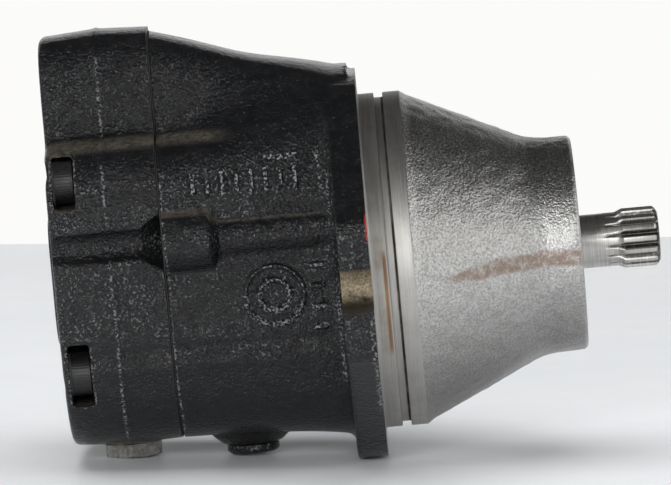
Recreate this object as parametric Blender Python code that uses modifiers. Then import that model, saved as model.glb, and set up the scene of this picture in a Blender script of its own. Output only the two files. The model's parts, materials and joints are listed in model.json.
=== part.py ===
"""Plug-in axial-piston hydraulic motor with a swashplate, in metres.

+X runs along the output shaft, away from the motor, and +Z is up, towards the servo lobe.
The origin is the centre of the output shaft's end face. The motor lies on the -X side of it.
Every cast, turned or pressed piece is its own object. The moving pieces have their origins on
their joint axes.
"""
import math

import bmesh
import bpy
from mathutils import Matrix, Vector

# Output shaft
SPLINE_TEETH = 15
SPLINE_TIP_R = 0.0125
SPLINE_ROOT_R = 0.0107
SPLINE_END_X = -0.0155
SPLINE_RUNOUT_X = -0.0238
SPLINE_SPACE_ANGLE = math.radians(167)
SHANK_R = 0.0112
SEAL_LAND_R = 0.0140
BEARING_SEAT_R = 0.0150
COLLAR_R = 0.0190
SHAFT_R = 0.0130
INNER_SPLINE_TEETH = 9
INNER_SPLINE_ROOT_R = 0.0115
REAR_JOURNAL_R = 0.0110
SHAFT_REAR_X = -0.2290

# Nose, pilot and flange
NOSE_FRONT_X = -0.0335
NOSE_R = 0.0448
NOSE_CONE_X = -0.0498
NOSE_CONE_R = 0.0456
PILOT_FRONT_X = -0.1030
PILOT_R = 0.0700
PILOT_GROOVE_X = (-0.1100, -0.1137)
PILOT_GROOVE_DEPTH = 0.0020
FLANGE_X = (-0.1207, -0.1334)
FLANGE_HALF_SPAN = 0.1100
FLANGE_HALF_HEIGHT = 0.0800
EAR_HALF_HEIGHT = 0.0270
FLANGE_FLAT_HALF = 0.0292
SLOT_Y = 0.0940
SLOT_R = 0.0088

# Housing barrel and servo lobe, as sections from the split to the flange
SPLIT_X = -0.2044
BARREL_SECTIONS = (
    # x, half width, top, bottom, squareness above, squareness below
    (-0.2060, 0.0600, 0.0625, 0.0655, 5.0, 2.8),
    (-0.1820, 0.0600, 0.0635, 0.0660, 4.8, 2.8),
    (-0.1610, 0.0602, 0.0665, 0.0672, 4.2, 2.8),
    (-0.1440, 0.0606, 0.0705, 0.0688, 3.6, 2.8),
    (-0.1360, 0.0610, 0.0735, 0.0700, 3.2, 2.8),
    (-0.1285, 0.0614, 0.0745, 0.0710, 3.0, 2.8),
)
LOBE_SECTIONS = (
    # x, half width, top
    (-0.2060, 0.0285, 0.1046),
    (-0.1820, 0.0280, 0.0972),
    (-0.1610, 0.0272, 0.0897),
    (-0.1440, 0.0265, 0.0840),
    (-0.1355, 0.0262, 0.0808),
    (-0.1290, 0.0260, 0.0790),
)
LOBE_CENTRE_Z = 0.0500
LOBE_SQUARENESS = 3.2

# End cap
CAP_FRONT_X = -0.2054
CAP_PARTING_X = -0.2270
CAP_REAR_X = -0.2502
CAP_PAD_X = -0.2517
CAP_HALF_WIDTH = 0.0608
CAP_TOP = 0.0635
CAP_BOTTOM = 0.0652
CAP_LOBE_HALF_WIDTH = 0.0300
CAP_LOBE_TOP = 0.1060
CAP_CORNER_R = 0.0040
CAP_DRAFT = 0.0012
POCKET_FLOOR_X = -0.2390
POCKET_REAR_X = -0.2479
COUNTERBORE_R = 0.0094
BODY_SCREWS = (
    # y, z, radius of the pocket round the head
    (0.0455, 0.0485, 0.0105),
    (0.0465, -0.0308, 0.0132),
)
LOBE_SCREW_YZ = (0.0195, 0.0700)
PORT_Y = 0.0300
PORT_Z = 0.0060
PORT_R = 0.0135
PORT_DEPTH = 0.0180

# Side gallery boss on the -Y side
GALLERY_Y = -0.0565
GALLERY_Z = 0.0212
GALLERY_BOSS_R = 0.0125
GALLERY_TUBE_R = 0.0077

# Plugs
HEX_PLUG_X = -0.2270
HEX_PLUG_FLATS = 0.0230
DRAIN_PLUG_X = -0.1770
SERVO_PLUG_Z = 0.0765

# Rotating group
PIVOT_X = -0.1180
PISTONS = 9
BORE_PITCH_R = 0.0285
BALL_PITCH_R = 0.0290
BORE_R = 0.0090
PISTON_R = 0.0081
BALL_R = 0.0055
SOCKET_R = 0.0060
SLIPPER_NECK_R = 0.0076
SLIPPER_PAD_R = 0.0090
SLIPPER_REACH = 0.0080
BLOCK_R = 0.0410
BLOCK_X = (-0.1460, -0.1998)
GUIDE_R = 0.0170
VALVE_PLATE_X = (-0.2001, -0.2051)
KIDNEY_HALF_WIDTH = 0.0045
KIDNEY_HALF_ANGLE = math.radians(58)

# Swashplate, its cradle and its control pieces
CRADLE_R = 0.0400
SHELL_R = (0.0404, 0.0430)
SEAT_R = 0.0433
SHELL_Y = (0.0323, 0.0442)
SWASH_HALF_WIDTH = 0.0444
SWASH_FACE = 0.0083
CONTROL_ARM = 0.0500
ARM_FRONT = 0.0120
SERVO_SLOPE = math.radians(17)
SERVO_PISTON_R = 0.0100
SERVO_BORE_R = 0.0105
SERVO_LENGTH = 0.0680
RETURN_Z = -0.0500
CONTACT_GAP = 0.0003

WELD = 1e-5
X_AXIS = Vector((1, 0, 0))
Z_AXIS = Vector((0, 0, 1))


def new_collection(name, hidden=False):
    collection = bpy.data.collections.new(name)
    bpy.context.scene.collection.children.link(collection)
    collection.hide_render = hidden
    return collection


def look(name, colour, roughness, metallic):
    """A Principled material with one colour."""
    material = bpy.data.materials.new(name)
    material.use_nodes = True
    shader = material.node_tree.nodes["Principled BSDF"]
    shader.inputs["Base Color"].default_value = (*colour, 1)
    shader.inputs["Roughness"].default_value = roughness
    shader.inputs["Metallic"].default_value = metallic
    return material


LOOKS = {
    "black_paint": ((0.02, 0.021, 0.023), 0.35, 0.0),
    "cast_iron": ((0.26, 0.26, 0.26), 0.6, 0.8),
    "machined_steel": ((0.55, 0.54, 0.52), 0.3, 1.0),
    "hardened_steel": ((0.38, 0.38, 0.39), 0.25, 1.0),
    "bearing_steel": ((0.62, 0.62, 0.63), 0.15, 1.0),
    "bronze": ((0.55, 0.36, 0.16), 0.4, 1.0),
    "spring_steel": ((0.22, 0.22, 0.23), 0.35, 1.0),
    "rubber": ((0.03, 0.03, 0.03), 0.7, 0.0),
    "gasket": ((0.08, 0.09, 0.08), 0.8, 0.0),
    "oxide_steel": ((0.12, 0.12, 0.12), 0.4, 0.9),
}


def place(mesh, name, finish):
    """Put a mesh in the scene as a part, or as a hidden helper where finish is None."""
    obj = bpy.data.objects.new(name, mesh)
    if finish is None:
        HELPERS.objects.link(obj)
        obj.hide_render = True
        obj.display_type = "WIRE"
        return obj
    PARTS.objects.link(obj)
    mesh.materials.append(look(name, *LOOKS[finish]))
    return obj


def mesh_from(bm, name):
    mesh = bpy.data.meshes.new(name)
    bmesh.ops.recalc_face_normals(bm, faces=bm.faces)
    bm.to_mesh(mesh)
    bm.free()
    return mesh


def soften(obj, degrees=35):
    """Shade a faceted round piece smooth, with its real edges kept sharp."""
    obj.data.shade_smooth()
    obj.data.set_sharp_from_angle(angle=math.radians(degrees))
    return obj


def turning(direction):
    """The rotation that takes +Z to a direction."""
    return Z_AXIS.rotation_difference(direction)


def turned(name, profile, finish, steps=32, closed=False, at=(0, 0, 0), direction=X_AXIS):
    """A turned piece. The profile's (place along direction, radius) points run from its front
    end down its outer side to its rear end, and on up its inner side where it is hollow."""
    mesh = bpy.data.meshes.new(name)
    count = len(profile)
    edges = [(i, i + 1) for i in range(count - 1)]
    if closed:
        edges.append((count - 1, 0))
    mesh.from_pydata([(radius, 0, along) for along, radius in profile], edges, [])
    obj = place(mesh, name, finish)
    obj.location = at
    obj.rotation_mode = "QUATERNION"
    obj.rotation_quaternion = turning(Vector(direction))
    screw = obj.modifiers.new("turn", "SCREW")
    screw.axis = "Z"
    screw.angle = 2 * math.pi
    screw.steps = steps
    screw.render_steps = steps
    screw.use_merge_vertices = True
    screw.merge_threshold = WELD
    screw.use_smooth_shade = True
    return obj


def ring(name, x, radii, finish, steps=32, direction=X_AXIS, at=(0, 0, 0)):
    """A plain ring between two places along its axis, x[0] in front, and two radii."""
    front, rear = x
    inner, outer = radii
    profile = [(front, outer), (rear, outer), (rear, inner), (front, inner)]
    return turned(name, profile, finish, steps, True, at, direction)


def rod(name, start, end, radius, finish=None, sides=32, end_radius=None):
    """A round bar or cone between two points."""
    start, end = Vector(start), Vector(end)
    bm = bmesh.new()
    tilt = turning((end - start).normalized()).to_matrix().to_4x4()
    bmesh.ops.create_cone(
        bm,
        cap_ends=True,
        segments=sides,
        radius1=radius,
        radius2=radius if end_radius is None else end_radius,
        depth=(end - start).length,
        matrix=Matrix.Translation((start + end) / 2) @ tilt,
    )
    return soften(place(mesh_from(bm, name), name, finish))


def box(name, low, high, finish=None):
    low, high = Vector(low), Vector(high)
    bm = bmesh.new()
    size = Matrix.Diagonal((*(high - low), 1))
    bmesh.ops.create_cube(bm, size=1, matrix=Matrix.Translation((low + high) / 2) @ size)
    return place(mesh_from(bm, name), name, finish)


def loft(name, rings, finish=None):
    """A closed solid through rings of equally many points."""
    bm = bmesh.new()
    rows = [[bm.verts.new(point) for point in points] for points in rings]
    count = len(rows[0])
    for low, high in zip(rows, rows[1:]):
        for i in range(count):
            after = (i + 1) % count
            bm.faces.new((low[i], low[after], high[after], high[i]))
    bm.faces.new(rows[0])
    bm.faces.new(rows[-1])
    return soften(place(mesh_from(bm, name), name, finish))


def prism_x(name, outline, x, finish=None):
    """A (y, z) outline drawn out between two x."""
    return loft(name, [[Vector((at, y, z)) for y, z in outline] for at in x], finish)


def prism_y(name, outline, y, finish=None):
    """An (x, z) outline drawn out between two y."""
    return loft(name, [[Vector((px, at, pz)) for px, pz in outline] for at in y], finish)


def combine(target, operation, helpers):
    for helper in helpers:
        change = target.modifiers.new(f"{operation.lower()} {helper.name}", "BOOLEAN")
        change.operation = operation
        change.solver = "EXACT"
        change.object = helper


def cut(target, *helpers):
    combine(target, "DIFFERENCE", helpers)


def join(target, *helpers):
    combine(target, "UNION", helpers)


def section(x, half_width, top, bottom, above, below, centre_z=0.0, count=40):
    """A casting's section at x, a superellipse with its own height and squareness above and
    below its widest level."""
    points = []
    for i in range(count):
        turn = 2 * math.pi * i / count
        across, up = math.cos(turn), math.sin(turn)
        height, power = (top, above) if up >= 0 else (bottom, below)
        total = (abs(across) / half_width) ** power + (abs(up) / height) ** power
        reach = total ** (-1 / power)
        points.append(Vector((x, reach * across, centre_z + reach * up)))
    return points


def lobe_section(x, half_width, top):
    """The servo lobe's section: its rounded top stands above the barrel, its foot is inside."""
    height = top - LOBE_CENTRE_Z
    power = LOBE_SQUARENESS
    return section(x, half_width, height, 0.025, power, power, LOBE_CENTRE_Z, 24)


def rounded_outline(corners, steps=4):
    """A convex outline of (y, z, radius) corners with arcs in them."""
    points = []
    count = len(corners)
    for i, (y, z, radius) in enumerate(corners):
        here = Vector((y, z))
        before = Vector(corners[i - 1][:2]) - here
        after = Vector(corners[(i + 1) % count][:2]) - here
        half = before.angle(after) / 2
        middle = (before.normalized() + after.normalized()).normalized()
        centre = here + middle * radius / math.sin(half)
        start = here + before.normalized() * radius / math.tan(half) - centre
        sweep = start.angle_signed(here + after.normalized() * radius / math.tan(half) - centre)
        for step in range(steps + 1):
            turn = Matrix.Rotation(-sweep * step / steps, 2)
            points.append(tuple(centre + turn @ start))
    return points


def arc(radius, start, end, steps):
    """(along, radius) points on a circle about the turning axis' zero, angles from the front."""
    angles = [start + (end - start) * i / steps for i in range(steps + 1)]
    return [(radius * math.cos(a), radius * math.sin(a)) for a in angles]


def polar(radius, angle):
    return radius * math.cos(angle), radius * math.sin(angle)


def star_outline(teeth, root, tip, phase=0.0):
    """A splined outline. root and tip are (radius, half angle of a tooth there)."""
    points = []
    for tooth in range(teeth):
        middle = phase + 2 * math.pi * tooth / teeth
        for radius, angle in (
            (root[0], -root[1]), (tip[0], -tip[1]), (tip[0], tip[1]), (root[0], root[1])
        ):
            points.append(polar(radius, middle + angle))
    return points


def kidney_outline(middle, steps=7):
    """A bent slot about the shaft axis, centred on the angle middle."""
    points = []
    for radius, way in (
        (BORE_PITCH_R - KIDNEY_HALF_WIDTH, 1), (BORE_PITCH_R + KIDNEY_HALF_WIDTH, -1)
    ):
        for step in range(steps + 1):
            share = 2 * step / steps - 1
            points.append(polar(radius, middle + way * share * KIDNEY_HALF_ANGLE))
    return points


def ball_centre(index):
    """Where a piston's ball sits in its slipper at rest."""
    y, z = polar(BALL_PITCH_R, math.pi / 2 + 2 * math.pi * index / PISTONS)
    return Vector((PIVOT_X, y, z))


def servo_point(back):
    """A point on the servo piston's axis, a distance back from its tip."""
    slope = Vector((math.cos(SERVO_SLOPE), 0, -math.sin(SERVO_SLOPE)))
    return Vector((PIVOT_X - CONTACT_GAP, 0, CONTROL_ARM)) - back * slope


def body_screw_places():
    """(y, z) of the four screws in the corner pockets, in order round the cap."""
    return [(side * y, z) for y, z, _ in BODY_SCREWS for side in (-1, 1)]


def lobe_screw_places():
    y, z = LOBE_SCREW_YZ
    return [(-y, z), (y, z)]


# Casings

def nose_and_pilot():
    """The turned front of the housing: nose, cone, pilot with its seal groove, and the small
    fillet where the pilot meets the mounting face."""
    groove_r = PILOT_R - PILOT_GROOVE_DEPTH
    fillet, buried = 0.0005, -0.1265
    profile = [
        (NOSE_FRONT_X, 0),
        (NOSE_FRONT_X, NOSE_R - 0.0014),
        (NOSE_FRONT_X - 0.0014, NOSE_R),
        (NOSE_CONE_X, NOSE_CONE_R),
        (PILOT_FRONT_X, PILOT_R),
        (PILOT_GROOVE_X[0], PILOT_R),
        (PILOT_GROOVE_X[0], groove_r),
        (PILOT_GROOVE_X[1], groove_r),
        (PILOT_GROOVE_X[1], PILOT_R),
        (FLANGE_X[0] + fillet, PILOT_R),
        (FLANGE_X[0] - fillet, PILOT_R + 2 * fillet),
        (buried, PILOT_R + 2 * fillet),
        (buried, 0),
    ]
    return turned("nose_shape", profile, None, 40)


def flange_plate():
    ear, top = FLANGE_HALF_SPAN, FLANGE_HALF_HEIGHT
    low, flat = EAR_HALF_HEIGHT, FLANGE_FLAT_HALF
    corners = [
        (ear, -low, 0.007), (ear, low, 0.007), (flat, top, 0.045),
        (-flat, top, 0.045), (-ear, low, 0.007), (-ear, -low, 0.007),
        (-flat, -top, 0.045), (flat, -top, 0.045),
    ]
    return prism_x("flange_shape", rounded_outline(corners, 4), FLANGE_X)


def flange_slots():
    """Two bolt slots, open at the ends of the ears."""
    cutters = []
    reach = (FLANGE_X[1] - 0.002, FLANGE_X[0] + 0.002)
    for side in (-1, 1):
        y = side * SLOT_Y
        outside = side * (FLANGE_HALF_SPAN + 0.005)
        ends = sorted((y, outside))
        cutters.append(rod(f"slot_end_{side}", (reach[0], y, 0), (reach[1], y, 0), SLOT_R, None, 20))
        low = (reach[0] - 0.0005, ends[0], -SLOT_R)
        cutters.append(box(f"slot_run_{side}", low, (reach[1] + 0.0005, ends[1], SLOT_R)))
    return cutters


def gallery_boss():
    """The side boss and tube that carry a drilled gallery from the split towards the nose."""
    def point(x):
        return (x, GALLERY_Y, GALLERY_Z)

    big = rod("gallery_boss", point(-0.2060), point(-0.1850), GALLERY_BOSS_R, None, 24)
    cone = rod(
        "gallery_cone", point(-0.1852), point(-0.1815), GALLERY_BOSS_R - 0.0001, None, 24,
        GALLERY_TUBE_R,
    )
    tube = rod("gallery_tube", point(-0.1845), point(-0.1300), GALLERY_TUBE_R, None, 20)
    return big, cone, tube


def drain_boss():
    profile = [
        (-0.0580, 0), (-0.0580, 0.0178), (-0.0660, 0.0178), (-0.0702, 0.0140), (-0.0702, 0),
    ]
    return turned("drain_boss", profile, None, 24, at=(DRAIN_PLUG_X, 0, 0), direction=Z_AXIS)


def bearing_and_seal_bores():
    """The bores along the shaft, from the nose end to the swashplate's room."""
    def bore(name, front, rear, radius):
        return rod(name, (rear, 0, 0), (front, 0, 0), radius, None, 28)

    return (
        bore("seal_bore", -0.0320, -0.0470, 0.0240),
        bore("retaining_groove", -0.0360, -0.0379, 0.0259),
        bore("web_hole", -0.0460, -0.0510, 0.0195),
        bore("front_bearing_bore", -0.0500, -0.0850, 0.0313),
    )


def swash_room():
    """Where the swashplate rocks: a round seat about its pivot and room for both its arms."""
    seat = [(PIVOT_X + x, z) for x, z in arc(SEAT_R, -math.pi / 2, math.pi / 2, 14)]
    seat += [(PIVOT_X - 0.012, SEAT_R), (PIVOT_X - 0.012, -SEAT_R)]
    half = SWASH_HALF_WIDTH + 0.0006
    return (
        prism_y("cradle_seat", seat, (-half, half)),
        box("upper_arm_room", (-0.1500, -0.0095, 0.0300), (-0.0900, 0.0095, 0.0595)),
        box("lower_arm_room", (-0.1500, -0.0095, -0.0595), (-0.1000, 0.0095, -0.0300)),
    )


def inner_rooms():
    """The cylinder block's room, the servo bore, the spring channel and the drillings."""
    behind = SPLIT_X - 0.003
    tube = (GALLERY_Y, GALLERY_Z)
    return (
        rod("block_room", (behind, 0, 0), (-0.1050, 0, 0), 0.0470, None, 36),
        rod("servo_bore", servo_point(0.096), servo_point(0.018), SERVO_BORE_R, None, 20),
        rod("stem_way", servo_point(0.020), servo_point(0.002), 0.0080, None, 16),
        rod("spring_channel", (behind, 0, RETURN_Z), (-0.1300, 0, RETURN_Z), 0.0082, None, 14),
        rod("gallery_drilling", (behind, *tube), (-0.1420, *tube), 0.0030, None, 8),
        rod("drain_thread", (DRAIN_PLUG_X, 0, -0.0720), (DRAIN_PLUG_X, 0, -0.0605), 0.0084, None, 14),
        rod("drain_drilling", (DRAIN_PLUG_X, 0, -0.0610), (DRAIN_PLUG_X, 0, -0.0550), 0.0035, None, 8),
    )


def thread_holes():
    """Blind holes for the cover screws, open at the split."""
    holes = []
    start = SPLIT_X - 0.003
    for number, (y, z) in enumerate(body_screw_places(), 1):
        holes.append(rod(f"housing_hole_{number}", (start, y, z), (-0.1850, y, z), 0.0063, None, 12))
    for number, (y, z) in enumerate(lobe_screw_places(), 1):
        holes.append(rod(f"lobe_hole_{number}", (start, y, z), (-0.1860, y, z), 0.0043, None, 10))
    return holes


def make_housing():
    housing = loft("housing", [section(*row) for row in BARREL_SECTIONS], "black_paint")
    lobe = loft("lobe_shape", [lobe_section(*row) for row in LOBE_SECTIONS])
    join(housing, lobe, *gallery_boss(), drain_boss(), flange_plate(), nose_and_pilot())
    behind = box("behind_split", (SPLIT_X - 0.02, -0.2, -0.2), (SPLIT_X, 0.2, 0.2))
    cut(housing, behind, *flange_slots(), *bearing_and_seal_bores(), *swash_room())
    cut(housing, *inner_rooms(), *thread_holes())
    return housing


def cap_stations():
    """(x, how far the cap's side stands out there): drafted both ways from the parting line,
    with a rounded rear edge."""
    stations = [(CAP_FRONT_X + 0.002, 0.0), (CAP_PARTING_X, CAP_DRAFT)]
    rear_out = -0.0003
    start = CAP_REAR_X + CAP_CORNER_R
    for step in range(4):
        turn = math.pi / 2 * step / 3
        inset = CAP_CORNER_R * (1 - math.cos(turn))
        stations.append((start - CAP_CORNER_R * math.sin(turn), rear_out - inset))
    stations.append((CAP_REAR_X - 0.002, rear_out - CAP_CORNER_R))
    return stations


def cap_shape():
    rings = [
        section(x, CAP_HALF_WIDTH + out, CAP_TOP + out, CAP_BOTTOM + out, 5.0, 2.8)
        for x, out in cap_stations()
    ]
    lobe = [
        lobe_section(x, CAP_LOBE_HALF_WIDTH + out, CAP_LOBE_TOP + out)
        for x, out in cap_stations()
    ]
    cap = loft("end_cap", rings, "black_paint")
    join(cap, loft("cap_lobe", lobe))
    cut(
        cap,
        box("before_cap", (CAP_FRONT_X, -0.2, -0.2), (CAP_FRONT_X + 0.02, 0.2, 0.2)),
        box("behind_cap", (CAP_REAR_X - 0.02, -0.2, -0.2), (CAP_REAR_X, 0.2, 0.2)),
    )
    return cap


def port_pad():
    corners = [
        (0.0530, -0.0180, 0.012), (0.0530, 0.0330, 0.012),
        (-0.0530, 0.0330, 0.012), (-0.0530, -0.0180, 0.012),
    ]
    return prism_x("port_pad", rounded_outline(corners), (CAP_PAD_X, -0.2450))


def pocket_outline(side, y, z, radius, steps=12):
    """A round pocket in a (y, z) section that opens out to one side."""
    points = [(side * 0.075, z - radius)]
    for step in range(steps + 1):
        across, up = polar(radius, math.pi * (step / steps - 0.5))
        points.append((side * (y - across), z + up))
    return [*points, (side * 0.075, z + radius)]


def screw_pockets():
    """Corner pockets round the screw heads, open to the side, each with a counterbore that
    lets its screw in from the rear."""
    cutters = []
    for row, (y, z, radius) in enumerate(BODY_SCREWS):
        for side in (-1, 1):
            start = (CAP_REAR_X - 0.004, side * y, z)
            end = (POCKET_REAR_X + 0.002, side * y, z)
            outline = pocket_outline(side, y, z, radius)
            cutters += [
                prism_x(f"pocket_{row}_{side}", outline, (POCKET_REAR_X, POCKET_FLOOR_X)),
                rod(f"counterbore_{row}_{side}", start, end, COUNTERBORE_R, None, 24),
            ]
    return cutters


def cap_holes():
    """The clearance holes of the six cover screws."""
    front = CAP_FRONT_X + 0.003
    rear = CAP_REAR_X - 0.004
    holes = []
    for number, (y, z) in enumerate(body_screw_places(), 1):
        holes.append(rod(f"cap_hole_{number}", (rear, y, z), (front, y, z), 0.0065, None, 12))
    for number, (y, z) in enumerate(lobe_screw_places(), 1):
        holes.append(rod(f"cap_lobe_hole_{number}", (rear, y, z), (front, y, z), 0.0045, None, 10))
        head = (-0.2410, y, z)
        holes.append(rod(f"cap_lobe_head_{number}", (rear, y, z), head, 0.0072, None, 16))
    return holes


def cap_passages():
    """Bearing bore, work ports with their kidney passages, servo and gauge drillings."""
    front = CAP_FRONT_X + 0.002
    rear = CAP_PAD_X - 0.002
    cutters = [
        rod("rear_bearing_bore", (-0.2300, 0, 0), (front, 0, 0), 0.0178, None, 28),
        rod("dowel_hole", (-0.2120, 0, 0.0345), (front, 0, 0.0345), 0.0023, None, 8),
        rod("servo_gallery", (-0.2400, 0, SERVO_PLUG_Z), (front, 0, SERVO_PLUG_Z), 0.0040, None, 10),
        rod("servo_thread", (rear, 0, SERVO_PLUG_Z), (-0.2390, 0, SERVO_PLUG_Z), 0.0082, None, 14),
        rod("servo_sink", (rear, 0, SERVO_PLUG_Z), (-0.2440, 0, SERVO_PLUG_Z), 0.0120, None, 24),
        rod("hex_spotface", (HEX_PLUG_X, 0, -0.0800), (HEX_PLUG_X, 0, -0.0652), 0.0150, None, 24),
        rod("hex_thread", (HEX_PLUG_X, 0, -0.0700), (HEX_PLUG_X, 0, -0.0530), 0.0084, None, 14),
        rod("gauge_drilling", (HEX_PLUG_X, 0, -0.0540), (HEX_PLUG_X, 0, -0.0150), 0.0025, None, 8),
    ]
    for side in (-1, 1):
        y = side * PORT_Y
        middle = 0.0 if side > 0 else math.pi
        port_floor = CAP_PAD_X + PORT_DEPTH
        cutters += [
            rod(f"port_{side}", (rear, y, PORT_Z), (port_floor, y, PORT_Z), PORT_R, None, 24),
            rod(f"spotface_{side}", (rear, y, PORT_Z), (CAP_PAD_X + 0.0006, y, PORT_Z), 0.0175, None, 24),
            rod(f"passage_{side}", (-0.2340, y, 0.003), (-0.2150, y, 0.003), 0.0075, None, 14),
            prism_x(f"cap_kidney_{side}", kidney_outline(middle), (-0.2200, front)),
        ]
    return cutters


def gallery_channel():
    """The tool channel in the cap's -Y side, in line with the gallery, flared at the split."""
    def point(x):
        return (x, -0.0634, 0.0219)

    channel = rod("channel", point(-0.2560), point(-0.2030), 0.0066, None, 20)
    flare = rod("channel_flare", point(-0.2170), point(-0.2040), 0.0064, None, 24, 0.0126)
    return channel, flare


def make_end_cap():
    cap = cap_shape()
    join(cap, port_pad())
    cut(cap, *screw_pockets(), *cap_holes(), *cap_passages(), *gallery_channel())
    return cap


def make_gasket():
    inset = 0.0010
    _, half_width, top, bottom, above, below = BARREL_SECTIONS[0]
    rows = [
        section(x, half_width - inset, top - inset, bottom - inset, above, below)
        for x in (-0.2047, -0.2051)
    ]
    gasket = loft("end_cap_gasket", rows, "gasket")
    _, lobe_half, lobe_top = LOBE_SECTIONS[0]
    lobe = [lobe_section(x, lobe_half - inset, lobe_top - inset) for x in (-0.2043, -0.2055)]
    join(gasket, loft("gasket_lobe", lobe))
    faces = (-0.2080, -0.2020)
    cut(
        gasket,
        box("gasket_front", (-0.2047, -0.2, -0.2), (-0.2000, 0.2, 0.2)),
        box("gasket_rear", (-0.2100, -0.2, -0.2), (-0.2051, 0.2, 0.2)),
        rod("gasket_room", (faces[0], 0, 0), (faces[1], 0, 0), 0.0475, None, 36),
        rod("gasket_channel", (faces[0], 0, RETURN_Z), (faces[1], 0, RETURN_Z), 0.0086, None, 14),
        rod("gasket_servo", (faces[0], 0, SERVO_PLUG_Z), (faces[1], 0, SERVO_PLUG_Z), 0.0115, None, 14),
    )
    for number, (y, z) in enumerate(body_screw_places() + lobe_screw_places(), 1):
        hole = rod(f"gasket_hole_{number}", (faces[0], y, z), (faces[1], y, z), 0.0066, None, 12)
        cut(gasket, hole)
    return gasket


# Screws and plugs

def socket_screw(name, y, z, head_x, head_r, head_length, shank_r, shank_end, key):
    """A socket-head cap screw along X, its head towards -X."""
    rear = head_x - head_length
    profile = [
        (shank_end, 0),
        (shank_end, shank_r - 0.0008),
        (shank_end - 0.0008, shank_r),
        (head_x, shank_r),
        (head_x, head_r),
        (rear + 0.0006, head_r),
        (rear, head_r - 0.0006),
        (rear, 0),
    ]
    screw = turned(name, profile, "oxide_steel", 12, at=(0, y, z))
    start = (rear - 0.001, y, z)
    end = (rear + head_length * 0.5, y, z)
    cut(screw, rod(f"{name}_key", start, end, key, None, 6))
    return screw


def make_cover_screws():
    for number, (y, z) in enumerate(body_screw_places(), 1):
        socket_screw(
            f"cap_screw_{number}", y, z, POCKET_FLOOR_X - 0.0003, 0.0090, 0.0088,
            0.0059, -0.1870, 0.0057,
        )
    for number, (y, z) in enumerate(lobe_screw_places(), 1):
        socket_screw(
            f"lobe_screw_{number}", y, z, -0.2413, 0.0065, 0.0080, 0.0039, -0.1880, 0.0034,
        )


def make_hex_plug():
    at = (HEX_PLUG_X, 0, 0)
    profile = [
        (-0.0555, 0), (-0.0555, 0.0072), (-0.0563, 0.0080), (-0.0690, 0.0080), (-0.0690, 0),
    ]
    plug = turned("hex_plug", profile, "machined_steel", 16, at=at, direction=Z_AXIS)
    corner = HEX_PLUG_FLATS / 2 / math.cos(math.pi / 6)
    head = rod("hex_head", (HEX_PLUG_X, 0, -0.0726), (HEX_PLUG_X, 0, -0.0670), corner, None, 6)
    join(plug, head)
    ring("hex_plug_seal", (-0.0656, -0.0666), (0.0087, 0.0110), "bronze", 16, Z_AXIS, at)


def make_drain_plug():
    at = (DRAIN_PLUG_X, 0, 0)
    profile = [
        (-0.0620, 0), (-0.0620, 0.0072), (-0.0628, 0.0080), (-0.0716, 0.0080),
        (-0.0716, 0.0110), (-0.0744, 0.0110), (-0.0755, 0.0098), (-0.0755, 0),
    ]
    plug = turned("drain_plug", profile, "black_paint", 20, at=at, direction=Z_AXIS)
    cut(plug, rod("drain_key", (DRAIN_PLUG_X, 0, -0.0765), (DRAIN_PLUG_X, 0, -0.0715), 0.0046, None, 6))
    ring("drain_plug_seal", (-0.0705, -0.0713), (0.0087, 0.0108), "rubber", 16, Z_AXIS, at)


def make_servo_plug():
    at = (0, 0, SERVO_PLUG_Z)
    profile = [
        (-0.2400, 0), (-0.2400, 0.0070), (-0.2408, 0.0078), (-0.2458, 0.0078),
        (-0.2458, 0.0110), (-0.2493, 0.0110), (-0.2500, 0.0103), (-0.2500, 0),
    ]
    plug = turned("servo_plug", profile, "oxide_steel", 20, at=at)
    start = (-0.2510, 0, SERVO_PLUG_Z)
    cut(plug, rod("servo_key", start, (-0.2460, 0, SERVO_PLUG_Z), 0.0050, None, 6))
    ring("servo_plug_seal", (-0.2443, -0.2455), (0.0084, 0.0107), "rubber", 16, at=at)


# Shaft, seal and bearings

def output_spline_spaces():
    """The 15 tooth spaces, one mesh of wedges that narrow and rise towards their run-out."""
    bm = bmesh.new()
    top_r = SPLINE_TIP_R + 0.0012
    stations = (
        # x, floor radius, half width at the floor, half width at the top
        (0.0010, SPLINE_ROOT_R, 0.0009, 0.0021),
        (SPLINE_END_X - 0.0020, SPLINE_ROOT_R, 0.0009, 0.0021),
        (SPLINE_RUNOUT_X, SHANK_R + 0.0001, 0.0002, 0.0010),
    )
    for space in range(SPLINE_TEETH):
        turn = SPLINE_SPACE_ANGLE + 2 * math.pi * space / SPLINE_TEETH
        spin = Matrix.Rotation(turn, 4, "X")
        rows = []
        for x, floor, low, high in stations:
            corners = [(floor, -low), (floor, low), (top_r, high), (top_r, -high)]
            rows.append([bm.verts.new(spin @ Vector((x, r, across))) for r, across in corners])
        for first, second in zip(rows, rows[1:]):
            for i in range(4):
                after = (i + 1) % 4
                bm.faces.new((first[i], first[after], second[after], second[i]))
        bm.faces.new(rows[0])
        bm.faces.new(rows[-1])
    return place(mesh_from(bm, "spline_spaces"), "spline_spaces", None)


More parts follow.
